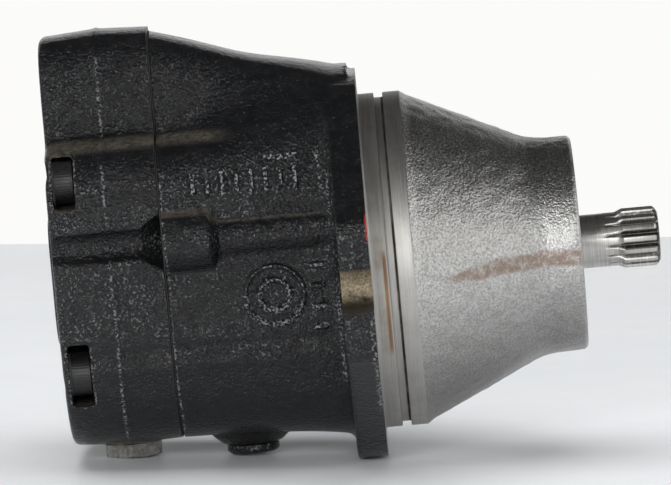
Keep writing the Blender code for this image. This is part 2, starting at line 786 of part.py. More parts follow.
def make_shaft():
    profile = [
        (0, 0),
        (0, SPLINE_TIP_R - 0.0017),
        (-0.0017, SPLINE_TIP_R),
        (SPLINE_END_X, SPLINE_TIP_R),
        (-0.0180, SHANK_R),
        (-0.0330, SHANK_R),
        (-0.0360, SEAL_LAND_R),
        (-0.0490, SEAL_LAND_R),
        (-0.0500, BEARING_SEAT_R),
        (-0.0688, BEARING_SEAT_R),
        (-0.0688, COLLAR_R),
        (-0.0715, COLLAR_R),
        (-0.0725, SHAFT_R),
        (-0.1762, SHAFT_R),
        (-0.1762, INNER_SPLINE_ROOT_R),
        (-0.2000, INNER_SPLINE_ROOT_R),
        (-0.2005, REAR_JOURNAL_R),
        (SHAFT_REAR_X + 0.001, REAR_JOURNAL_R),
        (SHAFT_REAR_X, REAR_JOURNAL_R - 0.001),
        (SHAFT_REAR_X, 0),
    ]
    shaft = turned("output_shaft", profile, "machined_steel", 30)
    root = (0.0110, math.radians(10.0))
    tip = (SHAFT_R, math.radians(7.5))
    teeth = star_outline(INNER_SPLINE_TEETH, root, tip)
    join(shaft, prism_x("shaft_teeth", teeth, (-0.1985, -0.1785)))
    cut(shaft, output_spline_spaces())


def make_seal():
    profile = [
        (-0.0385, 0.0237), (-0.0465, 0.0237), (-0.0465, 0.0222), (-0.0400, 0.0222),
        (-0.0400, 0.0175), (-0.0442, 0.0160), (-0.0442, 0.0144), (-0.0418, 0.0144),
        (-0.0385, 0.0165),
    ]
    turned("shaft_seal", profile, "rubber", 28, True)
    clip = ring("seal_retaining_ring", (-0.0363, -0.0376), (0.0212, 0.0256), "spring_steel", 28)
    cut(clip, box("clip_gap", (-0.0400, -0.0035, -0.0300), (-0.0340, 0.0035, -0.0150)))


def make_front_bearing():
    """A tapered roller bearing. Its rollers and cage are one solid, which turns at its own speed."""
    front, rear = (-0.0520, 0.0221), (-0.0650, 0.0249)
    cup = [(-0.0503, 0.0310), (-0.0672, 0.0310), (-0.0672, 0.0292), (-0.0503, 0.0256)]
    turned("front_bearing_cup", cup, "bearing_steel", 28, True)
    cone = [
        (-0.0503, 0.0183), (-0.0660, 0.0208), (-0.0660, 0.0232), (-0.0685, 0.0232),
        (-0.0685, 0.0153), (-0.0503, 0.0153),
    ]
    turned("front_bearing_cone", cone, "bearing_steel", 28, True)
    thin = 0.0007
    band = [
        (front[0] + 0.0006, front[1] + thin), (rear[0] - 0.0003, rear[1] + thin),
        (rear[0] - 0.0003, rear[1] - thin), (front[0] + 0.0006, front[1] - thin),
    ]
    cage = turned("front_bearing_rollers", band, "bearing_steel", 24, True)
    for number in range(12):
        spin = Matrix.Rotation(2 * math.pi * number / 12, 3, "X")
        ends = [spin @ Vector((x, radius, 0)) for x, radius in (rear, front)]
        roller = rod(f"roller_{number}", ends[0], ends[1], 0.0035, None, 8, 0.0032)
        join(cage, roller)


def make_rear_bearing():
    """A drawn-cup needle bearing. Its needles and cage are one solid."""
    ring("rear_bearing_shell", (-0.2065, -0.2265), (0.0154, 0.0175), "bearing_steel", 28)
    root, tip = (0.0132, math.radians(7.5)), (0.0150, math.radians(5.5))
    outline = star_outline(14, root, tip)
    needles = prism_x("rear_bearing_needles", outline, (-0.2262, -0.2068), "bearing_steel")
    cut(needles, rod("needle_hole", (-0.2300, 0, 0), (-0.2030, 0, 0), 0.0115, None, 24))


# Rotating group

def make_block():
    front, rear = BLOCK_X
    profile = [
        (front, BLOCK_R - 0.0010), (front - 0.0010, BLOCK_R), (rear, BLOCK_R), (rear, 0.0118),
        (-0.1770, 0.0118), (-0.1770, 0.0175), (front, 0.0175),
    ]
    block = turned("cylinder_block", profile, "cast_iron", 27, True)
    root = (0.0121, math.radians(11.9))
    tip = (0.0135, math.radians(9.4))
    teeth = star_outline(INNER_SPLINE_TEETH, root, tip)
    cut(block, prism_x("block_teeth", teeth, (rear - 0.002, -0.1750)))
    for number in range(PISTONS):
        y, z = polar(BORE_PITCH_R, math.pi / 2 + 2 * math.pi * number / PISTONS)
        bore = rod(f"bore_{number}", (-0.1900, y, z), (front + 0.002, y, z), BORE_R, None, 14)
        throat = rod(f"throat_{number}", (rear - 0.002, y, z), (-0.1890, y, z), 0.0040, None, 8)
        cut(block, bore, throat)


def make_pistons():
    """Each piston turns on its ball centre, so its origin is there."""
    neck = 0.0038
    ball = arc(BALL_R, 0, math.pi - math.asin(neck / BALL_R), 5)
    profile = ball + [
        (-0.0095, neck), (-0.0115, PISTON_R), (-0.0610, PISTON_R), (-0.0610, 0.0045), (-0.0180, 0.0045),
        (-0.0150, 0),
    ]
    profile[0] = (BALL_R, 0)
    for number in range(PISTONS):
        turned(f"piston_{number + 1}", profile, "hardened_steel", 12, at=ball_centre(number))


def make_slippers():
    lip = math.radians(115)
    profile = [
        (SLIPPER_REACH, 0), (SLIPPER_REACH, SLIPPER_PAD_R), (0.0050, SLIPPER_PAD_R), (0.0050, SLIPPER_NECK_R),
        (SOCKET_R * math.cos(lip), SLIPPER_NECK_R),
    ]
    profile += arc(SOCKET_R, lip, 0, 5)
    profile[-1] = (SOCKET_R, 0)
    for number in range(PISTONS):
        turned(f"slipper_{number + 1}", profile, "bronze", 12, at=ball_centre(number))


def make_retainer():
    """The plate that holds the slippers to the swashplate, on its ball guide."""
    at = (PIVOT_X, 0, 0)
    profile = [(0.0047, 0.0405), (0.0010, 0.0405), (0.0010, 0.01743), (0.0047, 0.01698)]
    plate = turned("retainer_plate", profile, "hardened_steel", 27, True, at)
    for number in range(PISTONS):
        centre = ball_centre(number)
        start, end = centre - 0.003 * X_AXIS, centre + 0.008 * X_AXIS
        cut(plate, rod(f"retainer_hole_{number}", start, end, 0.0082, None, 12))
    guide = arc(GUIDE_R, math.acos(0.0073 / GUIDE_R), math.acos(-0.0090 / GUIDE_R), 5)
    guide += [(-0.0125, 0.0156), (-0.0320, 0.0156), (-0.0320, 0.0134), (0.0073, 0.0134)]
    turned("ball_guide", guide, "hardened_steel", 24, True, at)


def coil(name, start_x, end_x, radius, wire, turns, z, finish):
    """A compression spring along X, its wire a polyline of points along a helix."""
    per_turn = 8
    count = turns * per_turn + 1
    curve = bpy.data.curves.new(name, "CURVE")
    curve.dimensions = "3D"
    curve.bevel_depth = wire
    curve.bevel_resolution = 1
    curve.use_fill_caps = True
    spline = curve.splines.new("POLY")
    spline.points.add(count - 1)
    for i, point in enumerate(spline.points):
        share = i / (count - 1)
        y, up = polar(radius, 2 * math.pi * i / per_turn)
        point.co = (start_x + (end_x - start_x) * share, y, z + up, 1)
    obj = bpy.data.objects.new(name, curve)
    PARTS.objects.link(obj)
    curve.materials.append(look(name, *LOOKS[finish]))


def make_block_spring():
    wire = 0.0012
    coil("block_spring", -0.1504 - wire, -0.1744 + wire, 0.0156, wire, 5, 0, "spring_steel")
    ring("spring_seat", (-0.1748, -0.1766), (0.0134, 0.0171), "hardened_steel", 20)


def make_valve_plate():
    plate = ring("valve_plate", VALVE_PLATE_X, (0.0180, 0.0400), "bronze", 30)
    reach = (VALVE_PLATE_X[1] - 0.001, VALVE_PLATE_X[0] + 0.001)
    for side, middle in ((-1, math.pi), (1, 0.0)):
        cut(plate, prism_x(f"kidney_{side}", kidney_outline(middle), reach))
    at = (0, 0.0345)
    cut(plate, rod("plate_dowel_hole", (-0.2070, *at), (-0.1990, *at), 0.0023, None, 8))
    rod("valve_plate_dowel", (-0.2112, *at), (-0.2008, *at), 0.0020, "hardened_steel", 10)


# Swashplate and its control

def make_swashplate():
    """A plate with two rockers, an arm above for the servo piston and one below for the spring.
    It turns about Y through the piston ball plane."""
    half = math.acos(SWASH_FACE / CRADLE_R)
    outline = [(PIVOT_X + x, z) for x, z in arc(CRADLE_R, -half, half, 16)]
    rings = [[Vector((x, y, z)) for x, z in outline] for y in (-SWASH_HALF_WIDTH, SWASH_HALF_WIDTH)]
    plate = loft("swashplate", rings, "hardened_steel")
    arm = [
        (0.0086, 0.0330), (ARM_FRONT, 0.0330), (ARM_FRONT, 0.0570), (0.0, 0.0570),
        (0.0, 0.0418), (0.0086, 0.0418),
    ]
    for name, side in (("upper_arm", 1), ("lower_arm", -1)):
        join(plate, prism_y(name, [(PIVOT_X + x, side * z) for x, z in arm], (-0.008, 0.008)))
    face = PIVOT_X + SWASH_FACE
    cut(
        plate,
        rod("shaft_way", (face - 0.002, 0, 0), (PIVOT_X + 0.045, 0, 0), 0.0174, None, 24, 0.0270),
        box("between_rockers", (PIVOT_X + 0.022, -0.0318, -0.05), (PIVOT_X + 0.05, 0.0318, 0.05)),
    )
    place_origin(plate, Vector((PIVOT_X, 0, 0)))


def place_origin(obj, point):
    """Move an object's origin without moving its shape."""
    obj.data.transform(Matrix.Translation(-point))
    obj.location = point


def make_cradle_shells():
    """Two thin half shells that the swashplate's rockers slide on."""
    half = math.radians(38)
    inner = arc(SHELL_R[0], -half, half, 8)
    outer = arc(SHELL_R[1], half, -half, 8)
    outline = [(PIVOT_X + x, z) for x, z in inner + outer]
    near, far = SHELL_Y
    prism_y("cradle_shell_left", outline, (near, far), "bronze")
    prism_y("cradle_shell_right", outline, (-far, -near), "bronze")


def make_servo_piston():
    """The servo piston slides down its sloping bore and pushes the swashplate's upper arm."""
    direction = Vector((math.cos(SERVO_SLOPE), 0, -math.sin(SERVO_SLOPE)))
    stem = 0.0065
    profile = [
        (-0.0002, 0), (-0.0010, 0.0036), (-0.0030, stem), (-0.0320, stem),
        (-0.0330, SERVO_PISTON_R), (-SERVO_LENGTH + 0.001, SERVO_PISTON_R),
        (-SERVO_LENGTH, SERVO_PISTON_R - 0.001), (-SERVO_LENGTH, 0.0050), (-0.0450, 0.0050),
        (-0.0420, 0),
    ]
    at = servo_point(0)
    turned("servo_piston", profile, "hardened_steel", 16, at=at, direction=direction)


def make_return_spring():
    front = PIVOT_X - CONTACT_GAP
    profile = [
        (front, 0), (front - 0.0006, 0.0020), (front - 0.0027, 0.0050), (-0.1262, 0.0050),
        (-0.1262, 0.0068), (-0.1286, 0.0068), (-0.1286, 0.0034), (-0.1500, 0.0034),
        (-0.1510, 0.0026), (-0.1510, 0),
    ]
    turned("return_plunger", profile, "hardened_steel", 14, at=(0, 0, RETURN_Z))
    wire = 0.0009
    coil(
        "return_spring", -0.1289 - wire, -0.2044 + wire, 0.0056, wire, 7, RETURN_Z, "spring_steel",
    )


def make_motor():
    make_housing()
    make_end_cap()
    make_gasket()
    make_cover_screws()
    make_hex_plug()
    make_drain_plug()
    make_servo_plug()
    make_shaft()
    make_seal()
    make_front_bearing()
    make_rear_bearing()
    make_block()
    make_pistons()
    make_slippers()
    make_retainer()
    make_block_spring()
    make_valve_plate()
    make_swashplate()
    make_cradle_shells()
    make_servo_piston()
    make_return_spring()


for old in list(bpy.data.objects):
    bpy.data.objects.remove(old)
PARTS = new_collection("hydraulic_motor")
HELPERS = new_collection("cutters", hidden=True)
make_motor()
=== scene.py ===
"""The looks of a plug-in axial-piston hydraulic motor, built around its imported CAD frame.

+X runs along the output shaft away from the motor, +Z is up towards the servo lobe, and -Y is
the side that faces the camera. All sizes are in metres. The castings are remeshed from simple
solids so that their edges and corners are rounded like cast ones, and then the machined faces,
the holes and the rooms for the moving pieces are cut into them.
"""

import json
import math

import bmesh
import bpy
import numpy as np
from mathutils import Matrix, Vector


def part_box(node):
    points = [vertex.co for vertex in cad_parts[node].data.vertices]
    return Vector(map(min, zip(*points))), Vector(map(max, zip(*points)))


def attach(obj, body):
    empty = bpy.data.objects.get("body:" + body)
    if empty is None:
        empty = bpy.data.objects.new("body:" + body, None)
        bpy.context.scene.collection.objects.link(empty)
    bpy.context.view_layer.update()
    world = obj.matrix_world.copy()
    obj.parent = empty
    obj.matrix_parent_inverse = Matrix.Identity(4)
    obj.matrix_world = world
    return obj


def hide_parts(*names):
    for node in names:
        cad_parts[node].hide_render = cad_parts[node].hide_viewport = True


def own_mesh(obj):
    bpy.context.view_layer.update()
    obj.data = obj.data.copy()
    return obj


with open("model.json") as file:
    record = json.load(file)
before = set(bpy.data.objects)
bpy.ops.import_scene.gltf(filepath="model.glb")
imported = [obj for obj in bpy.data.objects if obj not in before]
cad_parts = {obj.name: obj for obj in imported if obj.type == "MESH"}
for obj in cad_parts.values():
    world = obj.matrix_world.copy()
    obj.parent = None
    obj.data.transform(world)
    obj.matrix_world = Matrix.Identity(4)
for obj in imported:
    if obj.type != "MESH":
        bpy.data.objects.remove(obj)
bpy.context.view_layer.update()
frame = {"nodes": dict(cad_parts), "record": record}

X, Y, Z = Vector((1, 0, 0)), Vector((0, 1, 0)), Vector((0, 0, 1))


def axis_yz(node):
    """The y and z of a CAD node's middle, which its axis along X runs through."""
    low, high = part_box(node)
    return (low.y + high.y) / 2, (low.z + high.z) / 2


# Casting sections, as in the CAD source: they run from the split towards the flange
BARREL_SECTIONS = (
    # x, half width, top, bottom, squareness above, squareness below
    (-0.2075, 0.0600, 0.0625, 0.0655, 5.0, 2.8),
    (-0.1820, 0.0600, 0.0635, 0.0660, 4.8, 2.8),
    (-0.1610, 0.0602, 0.0665, 0.0672, 4.2, 2.8),
    (-0.1440, 0.0606, 0.0705, 0.0688, 3.6, 2.8),
    (-0.1360, 0.0610, 0.0735, 0.0700, 3.2, 2.8),
    (-0.1285, 0.0614, 0.0745, 0.0710, 3.0, 2.8),
)
LOBE_SECTIONS = (
    # x, half width, top, fillet against the barrel
    (-0.2075, 0.0285, 0.1050, 0.006),
    (-0.1900, 0.0282, 0.0998, 0.010),
    (-0.1780, 0.0279, 0.0957, 0.026),
    (-0.1610, 0.0272, 0.0897, 0.034),
    (-0.1440, 0.0265, 0.0840, 0.034),
    (-0.1355, 0.0262, 0.0808, 0.030),
    (-0.1290, 0.0260, 0.0790, 0.026),
)
CAP_BARREL = (0.0608, 0.0635, 0.0652, 5.0, 2.8)
CAP_LOBE = (0.0300, 0.1060, 0.006)
LOBE_CENTRE_Z = 0.0500
LOBE_FOOT = 0.0250
LOBE_SQUARENESS = 3.2

# Places and sizes along the motor
SPLIT_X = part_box("housing")[0].x
NOSE_FRONT_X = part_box("housing")[1].x
CAP_FRONT_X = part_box("end_cap")[1].x
CAP_PAD_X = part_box("end_cap")[0].x
CAP_REAR_X = CAP_PAD_X + 0.0015
CAP_PARTING_X = -0.2270
FLANGE_X = (-0.1207, -0.1334)
PILOT_R = 0.0700
NOSE_R = 0.0448
SLOT_Y = 0.0940
SLOT_R = 0.0088
GALLERY_YZ = (-0.0565, 0.0212)
TUBE_R = 0.0077
CHANNEL_YZ = (-0.0634, 0.0219)
POCKET_FLOOR_X = -0.2390
POCKET_REAR_X = -0.2479
SERVO_PLUG_Z = 0.0765
PORT_YZ = (0.0300, 0.0060)
PORT_R = 0.0135
SPOTFACE_R = 0.0175
BEARING_BORE_R = 0.0178
LOBE_HEAD_BORE_R = 0.0072
HEX_PLUG_X = -0.2270
DRAIN_PLUG_X = -0.1770
PIVOT_X = -0.1180
SEAT_R = 0.0433
SEAT_HALF_WIDTH = 0.0450
SERVO_SLOPE = math.radians(17)
SERVO_TIP_Z = 0.0500
SERVO_BORE_R = 0.0105
SPRING_Z = -0.0500
SPRING_X = (-0.1298, -0.2035)
SHAFT_TEETH = 15
TRIM_HALF = 0.2

# The rooms inside the housing stay within these, and its painted outside stays beyond them
INNER_R = 0.0575
LOBE_INNER_Y = 0.0242
LOBE_INNER_Z = 0.0745

# Casting skins: the grid they are remeshed on, and how much their edges are rounded
VOXEL = 0.0008
EDGE_ROUNDING = 3.4e-6

# The angles round a body section
TURNS = 2 * math.pi * np.arange(720) / 720

# The cover screws' axes
SCREW_YZ = [axis_yz(f"cap_screw_{i}") for i in (1, 2, 3, 4)]
LOBE_SCREW_YZ = [axis_yz(f"lobe_screw_{i}") for i in (1, 2)]


# Mesh making

def linked(name, data):
    obj = bpy.data.objects.new(name, data)
    bpy.context.scene.collection.objects.link(obj)
    return obj


def mesh_object(name, points, faces):
    """A mesh object with its faces pointing out."""
    mesh = bpy.data.meshes.new(name)
    mesh.from_pydata([tuple(p) for p in points], [], faces)
    bm = bmesh.new()
    bm.from_mesh(mesh)
    bmesh.ops.remove_doubles(bm, verts=bm.verts, dist=1e-7)
    bmesh.ops.recalc_face_normals(bm, faces=bm.faces)
    bm.to_mesh(mesh)
    bm.free()
    return linked(name, mesh)


def skin(name, rings, loop=False):
    """A closed mesh through rings of equally many points. Its ends are flat, or it loops."""
    rows, count = len(rings), len(rings[0])
    points = np.concatenate([np.asarray(ring, float) for ring in rings])
    faces = []
    for row in range(rows if loop else rows - 1):
        here, there = row * count, (row + 1) % rows * count
        for i in range(count):
            after = (i + 1) % count
            faces.append((here + i, here + after, there + after, there + i))
    if not loop:
        faces.append(tuple(range(count)))
        faces.append(tuple(range((rows - 1) * count, rows * count)))
    return mesh_object(name, points, faces)


def bake(obj):
    """Apply an object's modifiers to its mesh."""
    bpy.context.view_layer.update()
    graph = bpy.context.evaluated_depsgraph_get()
    mesh = bpy.data.meshes.new_from_object(obj.evaluated_get(graph))
    obj.modifiers.clear()
    obj.data = mesh
    return obj


def boolean(obj, operation, others):
    """Cut or join closed meshes, which are used up."""
    for other in others:
        change = obj.modifiers.new(other.name, "BOOLEAN")
        change.operation = operation
        change.solver = "MANIFOLD"
        change.object = other
    bake(obj)
    for other in others:
        bpy.data.objects.remove(other)
    return obj


def cut(obj, *cutters):
    return boolean(obj, "DIFFERENCE", cutters)


def join(obj, *others):
    return boolean(obj, "UNION", others)


def crisp(obj, degrees=30):
    """Smooth shading with the real edges kept sharp."""
    obj.data.shade_smooth()
    obj.data.set_sharp_from_angle(angle=math.radians(degrees))
    return obj


def eased(profile, size, steps=3, loop=False):
    """A profile with its corners rounded, size from each corner or less on short stretches.
    The first and last points stay, unless the profile loops."""
    points = [np.array(p, float) for p in profile]
    count = len(points)
    made = []
    for i, here in enumerate(points):
        if not loop and i in (0, count - 1):
            made.append(here)
            continue
        before = points[i - 1] - here
        after = points[(i + 1) % count] - here
        reach_in = min(size, 0.45 * np.linalg.norm(before))
        reach_out = min(size, 0.45 * np.linalg.norm(after))
        start = here + before / np.linalg.norm(before) * reach_in
        end = here + after / np.linalg.norm(after) * reach_out
        for step in range(steps + 1):
            t = step / steps
            made.append((1 - t) ** 2 * start + 2 * t * (1 - t) * here + t * t * end)
    return [tuple(p) for p in made]


def ring_at(x, radius, turns, yz=(0, 0)):
    """Points round an axis along X, at a radius which may differ from one to the next."""
    y, z = yz[0] + radius * np.cos(turns), yz[1] + radius * np.sin(turns)
    return np.column_stack([np.full(len(turns), x), y, z])


def turned(name, profile, sides=128, loop=False, at=(0, 0, 0), direction=X):
    """A turned piece from (along, radius) points about a direction through a point."""
    turns = 2 * math.pi * np.arange(sides) / sides
    obj = skin(name, [ring_at(along, radius, turns) for along, radius in profile], loop)
    turn = X.rotation_difference(Vector(direction)).to_matrix().to_4x4()
    obj.data.transform(Matrix.Translation(at) @ turn)
    return obj


def rod(name, start, end, radius, sides=64, end_radius=None):
    """A round bar or cone between two points."""
    start, end = Vector(start), Vector(end)
    far = radius if end_radius is None else end_radius
    profile = [(0, radius), ((end - start).length, far)]
    return turned(name, profile, sides, at=start, direction=end - start)


def bar(name, start, end, radius, yz=(0, 0), sides=64, end_radius=None):
    """A round bar or cone along X between two x."""
    return rod(name, (start, *yz), (end, *yz), radius, sides, end_radius)


def prism_x(name, outline, x):
    """A (y, z) outline drawn out between two x."""
    return skin(name, [[(at, y, z) for y, z in outline] for at in x])


def box(name, corner, opposite):
    """A box between any two opposite corners."""
    x, (left, right), (foot, top) = (sorted(pair) for pair in zip(corner, opposite))
    return prism_x(name, [(left, foot), (right, foot), (right, top), (left, top)], x)


def trim(name, start, end):
    """A block between two x, wider than the motor, that cuts a casting off square."""
    return box(name, (start, -TRIM_HALF, -TRIM_HALF), (end, TRIM_HALF, TRIM_HALF))


def hexagon(name, start, end, flats):
    """A six-sided bar between two points, across its flats."""
    return rod(name, start, end, flats / math.sqrt(3), 6)


def smooth_rows(rows, places):
    """The rows' columns at each place, by cubic curves through them."""
    table = np.array(rows)
    x, values = table[:, 0], table[:, 1:]
    slopes = np.gradient(values, x, axis=0)
    low = np.clip(np.searchsorted(x, places) - 1, 0, len(x) - 2)
    width = (x[low + 1] - x[low])[:, None]
    t = (np.asarray(places) - x[low])[:, None] / width
    start, end = values[low], values[low + 1]
    lead, trail = slopes[low] * width, slopes[low + 1] * width
    return (
        (2 * t**3 - 3 * t**2 + 1) * start + (t**3 - 2 * t**2 + t) * lead
        + (3 * t**2 - 2 * t**3) * end + (t**3 - t**2) * trail
    )


def off_section(y, z, half_width, top, bottom, above, below, centre_z=0.0):
    """About how far points are outside a superellipse section, which has its own height and
    squareness above and below its centre."""
    up = z - centre_z
    height = np.where(up >= 0, top, bottom)
    power = np.where(up >= 0, above, below)
    norm = (np.abs(y / half_width) ** power + np.abs(up / height) ** power) ** (1 / power)
    return np.hypot(y, up) * (1 - 1 / np.maximum(norm, 0.01))


def filleted(a, b, fillet):
    """The lesser of two distances, smaller still where they are nearly equal."""
    share = np.clip(0.5 + 0.5 * (b - a) / fillet, 0, 1)
    return b + (a - b) * share - fillet * share * (1 - share)


def body_reach(turns, barrel_row, lobe_row, out=0.0):
    """How far the barrel with its lobe reaches from the axis at each angle."""
    half_width, top, fillet = lobe_row
    low, high = np.full(len(turns), 0.030), np.full(len(turns), 0.130)
    for _ in range(24):
        middle = (low + high) / 2
        y, z = middle * np.cos(turns), middle * np.sin(turns)
        lobe = off_section(
            y, z, half_width, top - LOBE_CENTRE_Z, LOBE_FOOT, LOBE_SQUARENESS, LOBE_SQUARENESS,
            LOBE_CENTRE_Z,
        )
        inside = filleted(off_section(y, z, *barrel_row), lobe, fillet) < out
        low, high = np.where(inside, middle, low), np.where(inside, high, middle)
    return (low + high) / 2


def rounded_outline(corners, steps=10):
    """A convex outline of (y, z, radius) corners with arcs in them."""
    points = []
    count = len(corners)
    for i, (y, z, radius) in enumerate(corners):
        here = Vector((y, z))
        before = (Vector(corners[i - 1][:2]) - here).normalized()
        after = (Vector(corners[(i + 1) % count][:2]) - here).normalized()
        half = before.angle(after) / 2
        centre = here + (before + after).normalized() * radius / math.sin(half)
        start = here + before * radius / math.tan(half) - centre
        sweep = start.angle_signed(here + after * radius / math.tan(half) - centre)
        for step in range(steps + 1):
            points.append(tuple(centre + Matrix.Rotation(-sweep * step / steps, 2) @ start))
    return points


# Castings

def remesh(obj, voxel, rounds):
    """One skin round everything in a mesh, its edges and corners rounded by smoothing."""
    grid = obj.modifiers.new("remesh", "REMESH")
    grid.mode = "VOXEL"
    grid.voxel_size = voxel
    grid.use_smooth_shade = True
    if rounds:
        smooth = obj.modifiers.new("smooth", "SMOOTH")
        smooth.factor = 0.5
        smooth.iterations = rounds
    return bake(obj)


def together(name, solids):
    """Several overlapping solids in one mesh, ready to be remeshed."""
    bm = bmesh.new()
    for solid in solids:
        bm.from_mesh(solid.data)
        bpy.data.objects.remove(solid)
    mesh = bpy.data.meshes.new(name)
    bm.to_mesh(mesh)
    bm.free()
    return linked(name, mesh)


def cast(name, solids, hollows=()):
    """A casting: solids melted together, hollows taken out, and every edge rounded."""
    obj = remesh(together(name, solids), VOXEL, 0)
    if hollows:
        cut(obj, *hollows)
    return remesh(obj, VOXEL, round(EDGE_ROUNDING / VOXEL**2))


def flange_outline():
    """The flange from the front: an ear with a slot on each side, wide at top and bottom."""
    return rounded_outline([
        (0.1100, -0.0270, 0.007), (0.1100, 0.0270, 0.007), (0.0292, 0.0800, 0.045),
        (-0.0292, 0.0800, 0.045), (-0.1100, 0.0270, 0.007), (-0.1100, -0.0270, 0.007),
        (-0.0292, -0.0800, 0.045), (0.0292, -0.0800, 0.045),
    ])


def outline_reach(outline):
    """How far a (y, z) outline round the axis reaches at each angle."""
    ends = np.array(outline)
    shares = np.linspace(0, 1, 60, endpoint=False)[:, None, None]
    dense = ((1 - shares) * ends + shares * np.roll(ends, -1, axis=0)).reshape(-1, 2)
    angles = np.arctan2(dense[:, 1], dense[:, 0])
    return np.interp(TURNS, angles, np.hypot(*dense.T), period=2 * math.pi)


def flange_fillet(x):
    """How far the body flares out at x towards the flange: more on top than underneath."""
    radius = 0.0030 + 0.0050 * step(np.sin(TURNS), -0.4, 0.2)
    start = FLANGE_X[1] - radius
    t = np.clip((x - start) / radius, 0, 1)
    return radius * (1 - np.sqrt(1 - t * t))


def barrel():
    """The body behind the flange: the barrel and the servo lobe, which fades into it."""
    places = np.concatenate([np.linspace(-0.2070, -0.1430, 50), np.linspace(-0.1420, -0.1240, 37)])
    rows = smooth_rows(BARREL_SECTIONS, np.clip(places, None, -0.1285))
    lobes = smooth_rows(LOBE_SECTIONS, np.clip(places, None, -0.1290))
    limit = outline_reach(flange_outline()) - 0.0004
    rings = []
    for x, row, lobe in zip(places, rows, lobes):
        reach = body_reach(TURNS, row, lobe)
        flared = np.minimum(reach + flange_fillet(x), np.maximum(limit, reach))
        rings.append(ring_at(x, flared, TURNS))
    return skin("barrel", rings)


def flange_plate():
    return prism_x("flange_plate", flange_outline(), (FLANGE_X[0] + 0.003, FLANGE_X[1]))


def gallery():
    """The side boss, its cone and the tube that runs on towards the flange."""
    return [
        bar("gallery_boss", -0.2070, -0.1850, 0.0125, GALLERY_YZ),
        bar("gallery_cone", -0.1852, -0.1815, 0.0124, GALLERY_YZ, end_radius=TUBE_R),
        bar("gallery_tube", -0.1845, -0.1300, TUBE_R, GALLERY_YZ),
    ]


def drain_boss():
    profile = [(-0.0560, 0.0188), (-0.0650, 0.0186), (-0.0680, 0.0162), (-0.0712, 0.0126)]
    return turned("drain_boss", profile, at=(DRAIN_PLUG_X, 0, 0), direction=Z)


def read_vectors(items, kind):
    """One vector from each of a mesh's vertices or faces, such as its place or normal."""
    values = np.zeros(len(items) * 3, np.float32)
    items.foreach_get(kind, values)
    return values.reshape(-1, 3)


def points_of(obj):
    return read_vectors(obj.data.vertices, "co")


def move_points(obj, shift):
    """Move each vertex by its own shift."""
    moved = points_of(obj) + shift
    obj.data.vertices.foreach_set("co", moved.astype(np.float32).ravel())
    obj.data.update()


def step(value, low, high):
    """0 below low, 1 above high and a smooth step between them."""
    t = np.clip((value - low) / (high - low), 0, 1)
    return t * t * (3 - 2 * t)


def side_y(x, z):
    """How far out the side of the barrel is."""
    half_width, top, bottom, above, below = smooth_rows(BARREL_SECTIONS, x).T
    height = np.where(z > 0, top, bottom)
    power = np.where(z > 0, above, below)
    return half_width * (1 - np.abs(z / height) ** power) ** (1 / power)


# How far a raised mark's edge spreads at each height
MARK_EDGE = ((0.0006, -0.0020), (0.0003, 0.0), (-0.0006, 0.0009))


def relief(name, rows, loop=False):
    """A raised mark on the -Y side from rows of (x, z) points and each row's height."""
    rings = []
    for outline, height in rows:
        x, z = np.array(outline).T
        rings.append(np.column_stack([x, -side_y(x, z) - height, z]))
    return skin(name, rings, loop)


def raised_bar(name, x, z, width, length):
    """A short bar with rounded ends and a sloping edge."""
    rows = []
    for grow, height in MARK_EDGE:
        a, b = width / 2 + grow, length / 2 + grow
        corners = [(x - a, z - b), (x + a, z - b), (x + a, z + b), (x - a, z + b)]
        radius = 0.45 * min(width, length) + grow
        rows.append((rounded_outline([(*corner, radius) for corner in corners], 4), height))
    return relief(name, rows)


def raised_ring(name, x, z, outside, inside):
    turn = np.linspace(0, 2 * math.pi, 72, endpoint=False)
    section = [(outside + grow, height) for grow, height in MARK_EDGE]
    section += [(inside - grow, height) for grow, height in reversed(MARK_EDGE)]
    rows = [
        (np.column_stack([x + radius * np.cos(turn), z + radius * np.sin(turn)]), height)
        for radius, height in section
    ]
    return relief(name, rows, True)


def side_marks():
    """Plain cast marks on the -Y side: a row of bars, two rings and a column of bars."""
    marks = [
        raised_ring(name, -0.1610, -0.0040, outside, inside)
        for name, outside, inside in (("outer_ring", 0.0130, 0.0112), ("inner_ring", 0.0074, 0.0052))
    ]
    for number in range(8):
        x = -0.1905 + 0.0060 * number
        length = 0.0105 if number % 3 else 0.0080
        marks.append(raised_bar(f"row_bar_{number}", x, 0.0440, 0.0026, length))
    for number in range(4):
        z = 0.0070 - 0.0085 * number
        marks.append(raised_bar(f"column_bar_{number}", -0.1430, z, 0.0060, 0.0024))
    return marks


def crease_side(obj):
    """The shallow groove and the convex edge below it, low on the -Y and +Y sides."""
    p = points_of(obj)
    z, side = p[:, 2], np.sign(p[:, 1]) * step(np.abs(p[:, 1]), 0.035, 0.050)
    depth = 0.0006 * np.exp(-(((z + 0.0230) / 0.0022) ** 2))
    rise = 0.0006 * np.exp(-(((z + 0.0300) / 0.0030) ** 2))
    move_points(obj, np.column_stack([0 * z, side * (rise - depth), 0 * z]))


def make_housing_casting():
    """The black part of the housing, behind the mounting face."""
    obj = cast("housing_casting", [barrel(), flange_plate(), drain_boss(), *gallery()])
    join(obj, together("side_marks", side_marks()))
    crease_side(obj)
    seat = bar("nose_seat", -0.1260, -0.1150, PILOT_R - 0.0010, sides=128)
    trims = [
        trim("behind_split", SPLIT_X - 0.02, SPLIT_X),
        trim("before_flange", FLANGE_X[0], FLANGE_X[0] + 0.02),
    ]
    cut(obj, *trims, *flange_slots(), seat)
    cut(obj, *swash_room(), *housing_rooms())
    return crisp(obj, 40)


